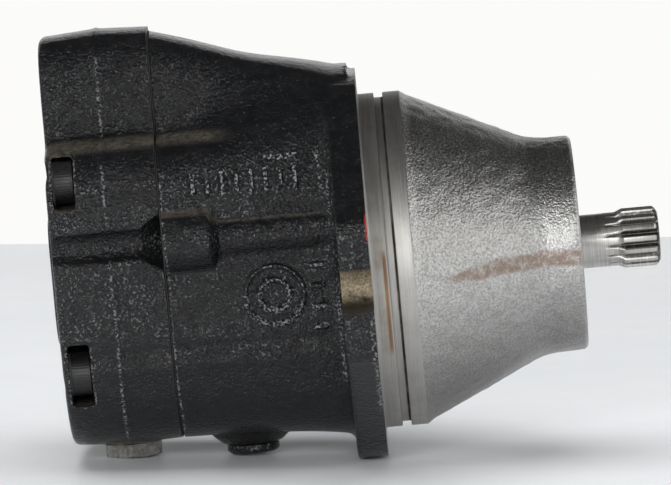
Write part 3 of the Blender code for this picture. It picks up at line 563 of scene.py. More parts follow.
def flange_slots():
    """The two bolt slots, each a round end and a straight run out through the flange's ear."""
    cutters = []
    rear, front = FLANGE_X[1] - 0.004, FLANGE_X[0] + 0.004
    for side in (-1, 1):
        outline = [(side * SLOT_Y + SLOT_R * math.cos(a), SLOT_R * math.sin(a))
                   for a in np.linspace(0, 2 * math.pi, 64, endpoint=False)]
        cutters.append(prism_x(f"slot_end_{side}", outline, (rear, front)))
        inner, outer = (rear - 0.001, side * SLOT_Y, -SLOT_R), (front + 0.001, side * 0.125, SLOT_R)
        cutters.append(box(f"slot_run_{side}", inner, outer))
    return cutters


def swash_room():
    """Where the swashplate rocks, with room for its two arms, and the cylinder block's room."""
    turn = np.linspace(-math.pi / 2, math.pi / 2, 25)
    seat = [(PIVOT_X + SEAT_R * math.cos(a), SEAT_R * math.sin(a)) for a in turn]
    seat += [(PIVOT_X - 0.012, SEAT_R), (PIVOT_X - 0.012, -SEAT_R)]
    half = SEAT_HALF_WIDTH
    return [
        skin("cradle_seat", [[(x, y, z) for x, z in seat] for y in (-half, half)]),
        box("upper_arm_room", (-0.1500, -0.0095, 0.0300), (-0.0900, 0.0095, 0.0595)),
        box("lower_arm_room", (-0.1500, -0.0095, -0.0595), (-0.1000, 0.0095, -0.0300)),
        bar("block_room", SPLIT_X - 0.0030, -0.1050, 0.0470, sides=128),
    ]


def servo_point(back):
    """A point on the servo piston's sloping axis, a distance back from its tip."""
    slope = Vector((math.cos(SERVO_SLOPE), 0, -math.sin(SERVO_SLOPE)))
    return Vector((PIVOT_X - 0.0003, 0, SERVO_TIP_Z)) - back * slope


def housing_rooms():
    """The servo bore, the spring's channel and the holes of the cover screws and drain plug."""
    behind = SPLIT_X - 0.0030
    rooms = [
        rod("servo_bore", servo_point(0.096), servo_point(0.018), SERVO_BORE_R),
        rod("stem_way", servo_point(0.020), servo_point(0.002), 0.0080, 48),
        bar("spring_channel", behind, -0.1300, 0.0082, (0, SPRING_Z), 48),
        rod("drain_hole", (DRAIN_PLUG_X, 0, -0.0720), (DRAIN_PLUG_X, 0, -0.0605), 0.0084, 48),
    ]
    for number, yz in enumerate([*SCREW_YZ, *LOBE_SCREW_YZ]):
        radius = 0.0063 if number < len(SCREW_YZ) else 0.0043
        rooms.append(bar(f"thread_{number}", behind, -0.1850, radius, yz, 32))
    return rooms


def cap_stations():
    """(x, how far the cap's side stands out there): drafted both ways from the parting line,
    with a rounded rear edge."""
    rear, radius = CAP_REAR_X + 0.0020, 0.0026
    stations = [(CAP_FRONT_X + 0.003, 0.0), (CAP_PARTING_X, 0.0012)]
    for turn in np.linspace(0, math.pi / 2, 8):
        inset = radius * (1 - math.cos(turn))
        stations.append((rear - radius * math.sin(turn), -0.0003 - inset))
    return stations


def cap_pockets():
    """Corner pockets round the screw heads, open to the side, and a shallow step above each
    upper one."""
    cutters = []
    for number, (y, z) in enumerate(SCREW_YZ):
        radius = 0.0105 if z > 0 else 0.0132
        cutters.append(bar(f"pocket_{number}", POCKET_REAR_X, POCKET_FLOOR_X, radius, (y, z)))
        outer = (POCKET_FLOOR_X, math.copysign(0.075, y), z + radius)
        cutters.append(box(f"pocket_side_{number}", (POCKET_REAR_X, y, z - radius), outer))
    for side in (-1, 1):
        inner, outer = (-0.2600, side * 0.0594, 0.0480), (-0.2402, side * 0.075, 0.0660)
        cutters.append(box(f"notch_{side}", inner, outer))
    return cutters


def cap_channel():
    """The tool channel in the -Y side, in line with the gallery boss and flared at the split."""
    return [
        bar("channel", -0.2560, -0.2000, 0.0066, CHANNEL_YZ),
        bar("channel_flare", -0.2140, -0.2040, 0.0064, CHANNEL_YZ, end_radius=0.0128),
    ]


def raise_parting_line(obj):
    """A thin uneven flash line round the cap where the mould's halves met."""
    p = points_of(obj)
    away = (p[:, 0] - CAP_PARTING_X) / 0.0011
    round_angle = np.arctan2(p[:, 2], p[:, 1])
    uneven = 0.75 + 0.25 * np.sin(23 * round_angle) * np.sin(9 * round_angle + 1)
    rise = 0.00055 * np.exp(-(away**2)) * uneven
    normals = read_vectors(obj.data.vertices, "normal")
    outward = np.clip(1 - 2 * np.abs(normals[:, 0]), 0, 1)
    move_points(obj, normals * (rise * outward)[:, None])


def make_end_cap():
    rings = [
        ring_at(x, body_reach(TURNS, CAP_BARREL, CAP_LOBE, out), TURNS) for x, out in cap_stations()
    ]
    pad = rounded_outline([
        (0.0530, -0.0180, 0.012), (0.0530, 0.0330, 0.012),
        (-0.0530, 0.0330, 0.012), (-0.0530, -0.0180, 0.012),
    ])
    obj = cast(
        "end_cap_casting",
        [skin("cap_body", rings), prism_x("pad", pad, (CAP_PAD_X - 0.001, -0.2450))],
        [*cap_pockets(), *cap_channel()],
    )
    crease_side(obj)
    raise_parting_line(obj)
    trims = [
        trim("before_cap", CAP_FRONT_X, CAP_FRONT_X + 0.02),
        trim("behind_pad", CAP_PAD_X - 0.02, CAP_PAD_X),
    ]
    cut(obj, *trims, *cap_bores())
    return crisp(obj, 40)


def cap_bores():
    """The holes for the plugs, bearing, dowel and screws, and the two ports with passages."""
    rear, past = CAP_PAD_X - 0.004, CAP_FRONT_X + 0.002
    cutters = [
        bar("servo_sink", rear, -0.2440, 0.0120, (0, SERVO_PLUG_Z)),
        bar("servo_thread", rear, -0.2390, 0.0080, (0, SERVO_PLUG_Z)),
        rod("hex_spotface", (HEX_PLUG_X, 0, -0.0800), (HEX_PLUG_X, 0, -0.0652), 0.0150),
        rod("hex_thread", (HEX_PLUG_X, 0, -0.0700), (HEX_PLUG_X, 0, -0.0530), 0.0084),
        bar("bearing_bore", -0.2300, past, BEARING_BORE_R),
        bar("dowel_hole", -0.2120, past, 0.0023, (0, 0.0345), 24),
    ]
    for number, yz in enumerate(SCREW_YZ):
        cutters.append(bar(f"counterbore_{number}", rear, POCKET_REAR_X + 0.0010, 0.0094, yz))
        cutters.append(bar(f"screw_hole_{number}", POCKET_FLOOR_X - 0.0020, past, 0.0065, yz, 32))
    for number, yz in enumerate(LOBE_SCREW_YZ):
        cutters.append(bar(f"lobe_head_{number}", rear, -0.2410, LOBE_HEAD_BORE_R, yz))
        cutters.append(bar(f"lobe_hole_{number}", -0.2420, past, 0.0045, yz, 32))
    for side in (-1, 1):
        y, z = side * PORT_YZ[0], PORT_YZ[1]
        face, floor = CAP_PAD_X + 0.0006, CAP_PAD_X + 0.0180
        mouth = PORT_R + 0.0012
        profile = [(rear, mouth), (face, mouth), (face + 0.0012, PORT_R), (floor, PORT_R)]
        cutters.append(turned(f"port_{side}", profile, at=(0, y, z)))
        cutters.append(bar(f"spotface_{side}", rear, face, SPOTFACE_R, (y, z)))
        cutters.append(bar(f"passage_{side}", floor - 0.001, -0.2150, 0.0075, (y, 0.003)))
    return cutters


# Turned pieces

def make_nose():
    """The bare front of the housing: nose, cone, pilot with its seal groove, and seal bore."""
    groove, behind_pilot = PILOT_R - 0.0020, PILOT_R - 0.0008
    seal_bore, ring_groove, web_hole, bearing_bore = 0.0240, 0.0259, 0.0195, 0.0313
    rear = FLANGE_X[0] - 0.0030
    outer = [
        (NOSE_FRONT_X - 0.0014, NOSE_R), (-0.0480, NOSE_R + 0.0005), (-0.0500, 0.0456),
        (-0.0525, 0.0462), (-0.0560, 0.0475), (-0.1000, 0.0679), (-0.1030, PILOT_R),
    ]
    pilot = [
        (-0.1100, PILOT_R), (-0.1100, groove), (-0.1137, groove), (-0.1137, PILOT_R),
        (FLANGE_X[0] + 0.0005, PILOT_R), (FLANGE_X[0], PILOT_R + 0.0006),
        (FLANGE_X[0] - 0.0002, behind_pilot), (rear, behind_pilot),
    ]
    inner = [
        (rear, bearing_bore), (-0.0505, bearing_bore), (-0.0505, web_hole), (-0.0470, web_hole),
        (-0.0470, seal_bore), (-0.0379, seal_bore), (-0.0379, ring_groove), (-0.0360, ring_groove),
        (-0.0360, seal_bore), (NOSE_FRONT_X - 0.0010, seal_bore), (NOSE_FRONT_X, 0.0250),
    ]
    profile = eased([*outer, *pilot, *inner, (NOSE_FRONT_X, NOSE_R - 0.0012)], 0.0004, 2, True)
    obj = turned("housing_nose", densify(profile, 0.0012), 320, True)
    roughen_cone(obj)
    cut(obj, *swash_room())
    return crisp(obj, 25)


def densify(profile, longest):
    """A looping profile with points added so that no stretch is longer than given."""
    made = []
    for (a, r), (b, s) in zip(profile, profile[1:] + profile[:1]):
        count = max(1, math.ceil(math.hypot(b - a, s - r) / longest))
        made += [(a + (b - a) * i / count, r + (s - r) * i / count) for i in range(count)]
    return made


def lumps(points, size, seed):
    """A smooth uneven field from -1 to 1 with lumps of about a size, by summed waves."""
    draw = np.random.default_rng(seed)
    total = np.zeros(len(points))
    for _ in range(24):
        way = draw.normal(size=3)
        way *= 2 * math.pi / size * draw.uniform(0.6, 1.5) / np.linalg.norm(way)
        total += np.sin(points @ way + draw.uniform(0, 2 * math.pi))
    return total / math.sqrt(24) / 1.6


def roughen_cone(obj):
    """Sand-cast unevenness on the nose cone, and none on the machined pilot and bores."""
    p = points_of(obj)
    radius = np.hypot(p[:, 1], p[:, 2])
    cast_part = step(radius, 0.0440, 0.0446) * step(p[:, 0], -0.1035, -0.1010)
    height = 0.00016 * lumps(p, 0.009, 3) + 0.00007 * lumps(p, 0.0032, 4)
    outward = p * np.array([0, 1, 1]) / np.maximum(radius, 1e-6)[:, None]
    move_points(obj, outward * (height * cast_part)[:, None])


def spline_radius(turn, root, tip):
    """The radius at each angle round a 15-tooth spline with 30 degree flanks, between a root
    and a tip circle."""
    pitch = 2 * math.pi / SHAFT_TEETH
    off = np.abs((turn + pitch / 2) % pitch - pitch / 2)
    flank = 0.008113 / (math.tan(math.radians(30)) + np.sin(off))
    return np.clip(flank, root, tip)


def spline_turns(phase):
    """The angles round the shaft's sections, closest at the corners of the spline's teeth."""
    pitch = 360 / SHAFT_TEETH
    marks = np.array([0, 2.0, 3.7, 4.15, 5.6, 7.4, 9.0, 10.2, 10.8, 12.0])
    marks = np.concatenate([marks, pitch - marks[-2:0:-1]])
    return np.radians(np.concatenate([marks + pitch * k for k in range(SHAFT_TEETH)])) + phase


def inner_spline(count=9):
    """The blunt teeth that drive the cylinder block."""
    outline = []
    for tooth in range(count):
        middle = 2 * math.pi * tooth / count
        for radius, half in ((0.0110, -10.0), (0.0129, -7.5), (0.0129, 7.5), (0.0110, 10.0)):
            turn = middle + math.radians(half)
            outline.append((radius * math.cos(turn), radius * math.sin(turn)))
    return prism_x("inner_teeth", outline, (-0.1985, -0.1785))


def make_shaft():
    """The output shaft with its spline, ground seal land and the inner stretch of the rotor."""
    phase = math.radians(10.0)
    turns = spline_turns(phase)
    stations = [
        # x, root radius, tip radius
        (0.0, 0.0098, 0.0098), (-0.0002, 0.0101, 0.0103), (-0.0010, 0.0103, 0.0116),
        (-0.0019, 0.0103, 0.0124), (-0.0024, 0.0103, 0.0125), (-0.0135, 0.0103, 0.0125),
        (-0.0148, 0.0103, 0.0125), (-0.0152, 0.0103, 0.0123), (-0.0166, 0.0104, 0.0117),
        (-0.0178, 0.0104, 0.0112), (-0.0200, 0.0106, 0.0112), (-0.0222, 0.0110, 0.0112),
        (-0.0236, 0.0112, 0.0112),
    ]
    plain = [
        (-0.0328, 0.0112), (-0.0334, 0.0114), (-0.0358, 0.0138), (-0.0364, 0.0140),
        (-0.0490, 0.0140), (-0.0492, 0.0142), (-0.0499, 0.0149), (-0.0502, 0.0150),
        (-0.0688, 0.0150), (-0.0688, 0.0188), (-0.0690, 0.0190), (-0.0713, 0.0190),
        (-0.0725, 0.0130), (-0.1762, 0.0130), (-0.1762, 0.0115), (-0.2000, 0.0115),
        (-0.2005, 0.0110), (-0.2280, 0.0110), (-0.2290, 0.0100),
    ]
    stations += [(x, radius, radius) for x, radius in plain]
    rings = [
        ring_at(x, spline_radius(turns - phase, root, tip), turns) for x, root, tip in stations
    ]
    obj = skin("shaft", rings)
    join(obj, inner_spline())
    centre = [(0.001, 0.0030), (0.0, 0.0026), (-0.0040, 0.0012), (-0.0075, 0.0011)]
    cut(obj, turned("centre_hole", centre, 48))
    return crisp(obj, 28)


def make_socket_screw(name, node, head_r, head_length, shank_r, key):
    """A socket-head cap screw with a knurled head, its head towards -X."""
    yz = axis_yz(node)
    rear, front = (corner.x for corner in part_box(node))
    seat = rear + head_length
    sides = 144
    turns = 2 * math.pi * np.arange(sides) / sides
    knurl = 0.00016 * (np.arange(sides) % 3 == 0)
    profile = [
        (rear, head_r - 0.0010, 0), (rear + 0.0003, head_r - 0.0005, 0), (rear + 0.0010, head_r, 0),
        (rear + 0.0014, head_r, 1), (seat - 0.0012, head_r, 1), (seat - 0.0008, head_r, 0),
        (seat - 0.0002, head_r - 0.0001, 0), (seat, head_r - 0.0004, 0), (seat, shank_r, 0),
        (front - 0.0010, shank_r, 0), (front, shank_r - 0.0010, 0),
    ]
    screw = skin(name, [ring_at(x, r - knurled * knurl, turns, yz) for x, r, knurled in profile])
    socket = hexagon("key", (rear - 0.001, *yz), (rear + head_length * 0.55, *yz), key)
    mouth = [(rear - 0.001, key / 2 + 0.0017), (rear + 0.0009, key / 2 - 0.0002)]
    cut(screw, socket, turned("key_mouth", mouth, 48, at=(0, *yz)))
    return crisp(screw)


def make_screws():
    """The cover's four large and two small screws, each with the CAD node it stands for."""
    made = []
    for name, node, count, sizes in (
        # head radius, head length, shank radius, key
        ("socket_screw", "cap_screw", 4, (0.0090, 0.0088, 0.0059, 0.0100)),
        ("small_screw", "lobe_screw", 2, (0.0065, 0.0080, 0.0039, 0.0060)),
    ):
        for number in range(1, count + 1):
            stands_for = f"{node}_{number}"
            made.append((make_socket_screw(f"{name}_{number}", stands_for, *sizes), stands_for))
    return made


def make_hex_plug():
    """The hexagon plug under the cap, its head's corners turned off."""
    at = Vector((HEX_PLUG_X, 0, 0))
    head = hexagon("hex_plug_head", at - 0.0726 * Z, at - 0.0668 * Z, 0.0230)
    keep = turned(
        "head_turning",
        [(-0.0730, 0.0108), (-0.0726, 0.0112), (-0.0718, 0.0128), (-0.0668, 0.0140)],
        96, at=at, direction=Z,
    )
    boolean(head, "INTERSECT", [keep])
    stem = turned(
        "stem", [(-0.0555, 0.0072), (-0.0563, 0.0080), (-0.0672, 0.0080)], 64, at=at, direction=Z,
    )
    join(head, stem)
    cut(head, turned("punch", [(-0.0730, 0.0014), (-0.0722, 0.0004)], 24, at=at, direction=Z))
    return crisp(head)


def make_drain_plug():
    at = (DRAIN_PLUG_X, 0, 0)
    profile = eased([
        (-0.0755, 0.0040), (-0.0755, 0.0098), (-0.0744, 0.0110), (-0.0716, 0.0110),
        (-0.0716, 0.0080), (-0.0628, 0.0080), (-0.0620, 0.0072),
    ], 0.0005)
    plug = turned("drain_screw", profile, 96, at=at, direction=Z)
    cut(plug, hexagon("drain_key", (DRAIN_PLUG_X, 0, -0.0765), (DRAIN_PLUG_X, 0, -0.0712), 0.0080))
    return crisp(plug)


def make_servo_plug():
    profile = eased([
        (-0.2500, 0.0060), (-0.2500, 0.0103), (-0.2493, 0.0110), (-0.2458, 0.0110),
        (-0.2458, 0.0078), (-0.2408, 0.0078), (-0.2400, 0.0070),
    ], 0.0004)
    at = (0, 0, SERVO_PLUG_Z)
    plug = turned("servo_bore_plug", profile, 96, at=at)
    cut(plug, hexagon("servo_key", (-0.2510, 0, SERVO_PLUG_Z), (-0.2462, 0, SERVO_PLUG_Z), 0.0087))
    return crisp(plug)


def make_gasket():
    """The thin dark line at the split, a little inside both castings."""
    front, rear = SPLIT_X - 0.0003, CAP_FRONT_X + 0.0003
    row, lobe = BARREL_SECTIONS[0][1:], LOBE_SECTIONS[0][1:]
    reach = body_reach(TURNS, row, lobe, -0.0008)
    obj = skin("split_gasket", [ring_at(x, reach, TURNS) for x in (front, rear)])
    past = 0.010
    room = bar("gasket_room", rear - past, front + past, 0.0475)
    cut(obj, room, bar("gasket_servo", rear - past, front + past, 0.0115, (0, SERVO_PLUG_Z)))
    return crisp(obj)


def make_return_coil():
    """The return spring between its plunger and the split."""
    wire, radius, coils, per_coil = 0.0009, 0.0056, 7, 32
    start, end = SPRING_X
    angles = 2 * math.pi * np.arange(12) / 12
    rings = []
    for i in range(coils * per_coil + 1):
        turn = 2 * math.pi * i / per_coil
        along = start + (end - start) * i / (coils * per_coil)
        out = Vector((0, math.cos(turn), math.sin(turn)))
        centre = Vector((along, 0, SPRING_Z)) + radius * out
        rings.append([centre + wire * (math.cos(a) * out + math.sin(a) * X) for a in angles])
    return crisp(skin("return_coil", rings))


# Materials

# Noise stretched into fine rings round the X axis
TOOL_RINGS = (5200, 60, 60)


class Finish:
    """A procedural material: short calls that add nodes to its tree."""

    def __init__(self, name, **sockets):
        self.material = bpy.data.materials.new(name)
        self.material.use_nodes = True
        self.tree = self.material.node_tree
        self.shader = self.tree.nodes["Principled BSDF"]
        self.place = self.node("TexCoord").outputs["Object"]
        for socket, value in sockets.items():
            self.set(self.shader, socket, value)

    def set(self, node, socket, value):
        target = node.inputs[socket if isinstance(socket, int) else socket.replace("_", " ")]
        if isinstance(value, bpy.types.NodeSocket):
            self.tree.links.new(value, target)
        elif isinstance(value, tuple) and len(value) == 3 and target.type == "RGBA":
            target.default_value = (*value, 1)
        else:
            target.default_value = value

    def node(self, kind, settings=None, **sockets):
        made = self.tree.nodes.new("ShaderNode" + kind)
        for name, value in (settings or {}).items():
            setattr(made, name, value)
        for socket, value in sockets.items():
            self.set(made, socket, value)
        return made

    def maths(self, operation, a, b=0.0, clamp=False):
        made = self.node("Math", {"operation": operation, "use_clamp": clamp})
        self.set(made, 0, a)
        self.set(made, 1, b)
        return made.outputs[0]

    def off(self, value, middle):
        """How far a value is from a middle."""
        return self.maths("ABSOLUTE", self.maths("SUBTRACT", value, middle))

    def times(self, product, *others):
        for other in others:
            product = self.maths("MULTIPLY", product, other)
        return product

    def noise(self, scale, detail=3.0, roughness=0.55, stretch=None):
        """Noise whose lumps are about 1/scale across; stretch scales the three axes."""
        place = self.place
        if stretch:
            place = self.node("Mapping", Vector=place, Scale=stretch).outputs[0]
        made = self.node("TexNoise", Vector=place, Scale=scale, Detail=detail, Roughness=roughness)
        return made.outputs["Fac"]

    def ramp(self, value, low, high, out_low=0.0, out_high=1.0):
        """Value from low to high mapped smoothly to an output range."""
        made = self.node("MapRange", {"interpolation_type": "SMOOTHSTEP"}, Value=value)
        limits = {"From Min": low, "From Max": high, "To Min": out_low, "To Max": out_high}
        for socket, number in limits.items():
            made.inputs[socket].default_value = number
        return made.outputs[0]

    def mix(self, share, a, b):
        """Two colours mixed by a share."""
        made = self.node("Mix", {"data_type": "RGBA"})
        self.set(made, 0, share)
        self.set(made, 6, a)
        self.set(made, 7, b)
        return made.outputs[2]

    def axis(self, name):
        parts = self.node("SeparateXYZ", Vector=self.place)
        return parts.outputs[name]

    def facing(self, name):
        """The normal's share along an axis of the motor."""
        normal = self.node("TexCoord").outputs["Normal"]
        return self.node("SeparateXYZ", Vector=normal).outputs[name]

    def band(self, value, low, high, soft):
        """1 between low and high, fading over soft at both ends."""
        rise = self.ramp(value, low - soft, low + soft)
        return self.times(rise, self.ramp(value, high - soft, high + soft, 1.0, 0.0))

    def bump(self, height, distance, strength, under=None):
        made = self.node("Bump", Height=height, Distance=distance, Strength=strength)
        if under is not None:
            self.set(made, "Normal", under)
        return made.outputs[0]

    def finish(self, colour, rough, normal):
        """Set what varies over the surface, and hand over the material."""
        for socket, value in (("Base Color", colour), ("Roughness", rough), ("Normal", normal)):
            self.set(self.shader, socket, value)
        return self.material


def black_paint(name, highlight_ridges=(), sparkle_boost=0.0, dab=False):
    """Gloss black paint over a sand casting, with brown dust in its hollows and grey painted
    sparkle highlights on its grains. Ridges are (x, half width, from z, to z) of thin rough lines
    with painted highlight beads on them. A dab of red paint can mark the near ear's front corner."""
    f = Finish(name, IOR=1.38)
    grain = f.noise(950, 2, 0.5)
    medium = f.noise(450, 2, 0.5)
    coarse = f.noise(180, 3, 0.6)
    x, y, z, up = f.axis("X"), f.axis("Y"), f.axis("Z"), f.facing("Z")

    ledge = f.times(
        f.band(z, 0.0602, 0.0640, 0.0015), f.ramp(x, -0.168, -0.186), f.ramp(up, 0.60, 0.92),
    )
    above_tube = f.maths("SUBTRACT", z, f.ramp(x, -0.1870, -0.1830, 0.0318, 0.0276))
    gallery_top = f.times(
        f.ramp(y, -0.055, -0.060), f.ramp(x, -0.137, -0.140),
        f.ramp(above_tube, -0.0008, 0.0010), f.ramp(z, 0.0380, 0.0360),
    )
    pockets = f.times(
        f.band(x, -0.2490, -0.2395, 0.001), f.ramp(y, -0.040, -0.045),
        f.ramp(f.off(z, CHANNEL_YZ[1]), 0.0100, 0.0120),
    )
    corners = f.times(f.maths("MAXIMUM", gallery_top, pockets), f.ramp(up, 0.25, 0.65))
    uneven = f.ramp(f.noise(380, 5, 0.7), 0.35, 0.62, 0.3, 0.8)
    dust = f.times(f.maths("MAXIMUM", ledge, corners), uneven)

    # Painted sparkle highlights: grey specks on the grain's peaks stand in for glints of light,
    # mostly on faces that look sideways and fewer on top; the extra amount paints more of them.
    patches = f.ramp(f.noise(90, 3, 0.6), 0.35, 0.60, 0.12 + sparkle_boost, 1.0)
    sparkle_facing = f.ramp(f.off(up, 0.15), 0.50, 0.10, 0.05 + sparkle_boost, 1.0)
    sparkle_facing = f.times(sparkle_facing, f.ramp(z, 0.0590, 0.0650, 1.0, 0.5))
    peaks = f.times(f.ramp(grain, 0.57 - 0.07 * sparkle_boost, 0.69 - 0.10 * sparkle_boost), patches)
    sparkle_highlight = f.maths("MULTIPLY", f.times(peaks, sparkle_facing), 0.62 + 0.30 * sparkle_boost, clamp=True)
    normal = None
    for height, strength in ((coarse, 0.4), (medium, 0.8), (grain, 1.0)):
        normal = f.bump(height, 0.0010, strength, normal)
    # Thin lines, each with a bump and grey painted highlight beads along it.
    for place, half, low, high in highlight_ridges:
        wander = f.maths("ADD", x, f.ramp(f.noise(60, 2, 0.5), 0.3, 0.7, -0.0003, 0.0003))
        line = f.times(f.band(wander, place - half, place + half, half), f.band(z, low, high, 0.002))
        highlight_beads = f.times(line, f.ramp(grain, 0.46, 0.62))
        sparkle_highlight = f.maths("MAXIMUM", sparkle_highlight, f.times(highlight_beads, 1.4), clamp=True)
        normal = f.bump(highlight_beads, 0.0006, 0.7, normal)

    colour = f.mix(f.ramp(coarse, 0.35, 0.7), (0.0050, 0.0054, 0.0060), (0.0092, 0.0095, 0.0102))
    # The painted sparkle highlights, in grey.
    colour = f.mix(sparkle_highlight, colour, (0.220, 0.226, 0.235))
    colour = f.mix(dust, colour, (0.078, 0.069, 0.055))
    if dab:
        mark = f.times(
            f.ramp(x, -0.1216, -0.1211), f.ramp(y, -0.095, -0.100),
            f.band(z, 0.0205, 0.0300, 0.001), f.ramp(grain, 0.38, 0.50, 0.3, 1.0),
        )
        colour = f.mix(mark, colour, (0.40, 0.030, 0.022))
    rough = f.maths("ADD", f.ramp(coarse, 0.3, 0.7, 0.11, 0.17), f.times(dust, 0.6))
    return f.finish(colour, rough, normal)


def bare_casting():
    """Bare sand-cast grey iron, grainy, with a thin rust streak along the near side and painted
    shade on its downward faces.
    """
    f = Finish("bare_casting", Metallic=1.0)
    sand = f.noise(1050, 3, 0.6)
    mottle = f.noise(160, 4, 0.6)
    x, y, z = f.axis("X"), f.axis("Y"), f.axis("Z")
    wander = f.noise(38, 3, 0.6)
    line = f.maths("ADD", z, f.ramp(wander, 0.2, 0.8, -0.0014, 0.0014))
    line = f.maths("ADD", line, f.ramp(x, -0.092, -0.062, 0.0028, 0.0010))
    half = f.ramp(x, -0.090, -0.072, 0.0012, 0.0031)
    streak = f.times(
        f.ramp(f.maths("SUBTRACT", f.maths("ABSOLUTE", line), half), 0.0010, -0.0010),
        f.band(x, -0.0900, -0.0330, 0.004), f.ramp(y, 0.0, -0.02),
        f.ramp(f.noise(330, 6, 0.8), 0.40, 0.56, 0.35, 0.9),
    )
    colour = f.mix(f.ramp(sand, 0.3, 0.7), (0.33, 0.325, 0.315), (0.60, 0.595, 0.58))
    colour = f.mix(f.ramp(mottle, 0.52, 0.78, 0.0, 0.25), colour, (0.25, 0.215, 0.175))
    rust = f.mix(f.noise(900, 4, 0.7), (0.16, 0.095, 0.065), (0.40, 0.285, 0.215))
    # Painted shade: the downward faces darker, towards the bottom.
    underside_shade = f.ramp(f.facing("Z"), -0.05, -0.55, 0.0, 0.45)
    colour = f.mix(underside_shade, colour, (0.19, 0.185, 0.175))
    colour = f.mix(f.times(streak, 0.85), colour, rust)
    rough = f.maths("ADD", f.ramp(sand, 0.3, 0.7, 0.28, 0.42), f.times(streak, 0.3))
    normal = f.bump(mottle, 0.0010, 0.35)
    normal = f.bump(sand, 0.0005, 0.8, normal)
    return f.finish(colour, rough, normal)


def machined_iron():
    """Turned grey iron on the pilot: fine rings, orange rust on its rear band, and a near-black
    painted shadow line in the groove."""
    f = Finish("machined_iron", Metallic=1.0)
    rings = f.noise(1.0, 2, 0.5, (5200, 40, 40))
    patches = f.noise(120, 4, 0.6)
    x, y, z = f.axis("X"), f.axis("Y"), f.axis("Z")
    near = f.ramp(y, 0.0, -0.02)
    wide = f.times(
        f.band(x, -0.1192, -0.1146, 0.0008), f.band(z, -0.030, 0.016, 0.004),
        f.ramp(patches, 0.36, 0.60, 0.15, 0.8), near,
    )
    edge = f.times(f.band(x, -0.1158, -0.1144, 0.0004), f.band(z, -0.031, 0.010, 0.003), near)
    uneven = f.ramp(f.noise(90, 3, 0.6), 0.25, 0.6, 0.7, 1.0)
    # A painted shadow: a thin near-black line on the groove's shaded front wall.
    root = f.times(f.band(x, -0.1109, -0.1099, 0.0003), uneven)
    colour = f.mix(f.ramp(rings, 0.3, 0.7), (0.38, 0.37, 0.35), (0.50, 0.49, 0.475))
    colour = f.mix(f.ramp(patches, 0.45, 0.75, 0.0, 0.35), colour, (0.32, 0.29, 0.25))
    colour = f.mix(f.times(wide, 0.5), colour, (0.44, 0.36, 0.25))
    colour = f.mix(f.times(edge, 0.8), colour, (0.33, 0.18, 0.08))
    colour = f.mix(f.times(root, 0.95), colour, (0.030, 0.018, 0.012))
    # The rust's roughness also covers the painted groove shadow.
    rust = f.maths("MAXIMUM", f.maths("MAXIMUM", wide, edge), root)
    rough = f.maths("ADD", f.ramp(rings, 0.3, 0.7, 0.48, 0.56), f.times(rust, 0.2))
    return f.finish(colour, rough, f.bump(rings, 0.00005, 0.5))


def sandy_iron():
    """The bare golden-brown wall of the flange's slots, with painted shade at its top and bottom."""
    f = Finish("sandy_iron", Metallic=0.6)
    sand = f.noise(900, 5, 0.75)
    patches = f.noise(200, 4, 0.6)
    colour = f.mix(f.ramp(sand, 0.3, 0.7), (0.12, 0.092, 0.055), (0.40, 0.34, 0.235))
    colour = f.mix(f.ramp(patches, 0.55, 0.75), colour, (0.045, 0.035, 0.028))
    # Painted shade: the wall darker towards its top and bottom edges.
    edges = f.ramp(f.maths("ABSOLUTE", f.axis("Z")), 0.0042, 0.0080)
    colour = f.mix(f.times(edges, 0.85), colour, (0.020, 0.018, 0.016))
    return f.finish(colour, 0.55, f.bump(sand, 0.0004, 0.8))


def turned_steel(name, dark, light, roughness):
    """Bright steel with fine tool rings round the X axis."""
    f = Finish(name, Metallic=1.0)
    rings = f.noise(1.0, 2, 0.5, TOOL_RINGS)
    patches = f.noise(170, 4, 0.6)
    colour = f.mix(f.ramp(rings, 0.3, 0.7), dark, light)
    colour = f.mix(f.ramp(patches, 0.5, 0.8, 0.0, 0.5), colour, tuple(0.75 * c for c in dark))
    rough = f.ramp(patches, 0.3, 0.7, roughness - 0.05, roughness + 0.08)
    return f.finish(colour, rough, f.bump(rings, 0.00004, 0.4))


def splined_steel():
    """The shaft's steel, darker in the spline's grooves by painted shade and grime, except along
    their bottoms.
    """
    f = Finish("splined_steel", Metallic=1.0)
    rings = f.noise(1.0, 2, 0.5, TOOL_RINGS)
    grime = f.noise(700, 4, 0.7)
    x, y, z = f.axis("X"), f.axis("Y"), f.axis("Z")
    radius = f.maths("POWER", f.maths("ADD", f.maths("POWER", y, 2), f.maths("POWER", z, 2)), 0.5)
    limit = f.ramp(x, -0.0172, -0.0146, 0.01115, 0.0122)
    # Painted shade and grime in the spline's grooves.
    groove = f.times(
        f.ramp(f.maths("SUBTRACT", limit, radius), 0.0001, 0.0005), f.ramp(x, -0.0240, -0.0236),
        f.ramp(radius, 0.0104, 0.0107, 0.25, 1.0), f.ramp(grime, 0.30, 0.50, 0.6, 1.0),
    )
    colour = f.mix(f.ramp(rings, 0.3, 0.7), (0.40, 0.39, 0.37), (0.60, 0.59, 0.57))
    colour = f.mix(f.times(groove, 0.92), colour, (0.035, 0.032, 0.028))
    rough = f.ramp(grime, 0.3, 0.7, 0.34, 0.46)
    return f.finish(colour, rough, f.bump(rings, 0.00004, 0.4))


def grained(name, dark, light, roughness, metallic, scale=600):
    """A plain material with fine grain: colour, roughness and bump all vary."""
    f = Finish(name, Metallic=metallic)
    grain = f.noise(scale, 4, 0.65)
    patches = f.noise(scale / 6, 3, 0.6)
    colour = f.mix(f.ramp(grain, 0.3, 0.7), dark, light)
    rough = f.ramp(patches, 0.3, 0.7, roughness - 0.06, roughness + 0.08)
    return f.finish(colour, rough, f.bump(grain, 0.0001, 0.4))


def wire_steel(name):
    return grained(name, (0.10, 0.10, 0.11), (0.26, 0.26, 0.27), 0.3, 0.95)


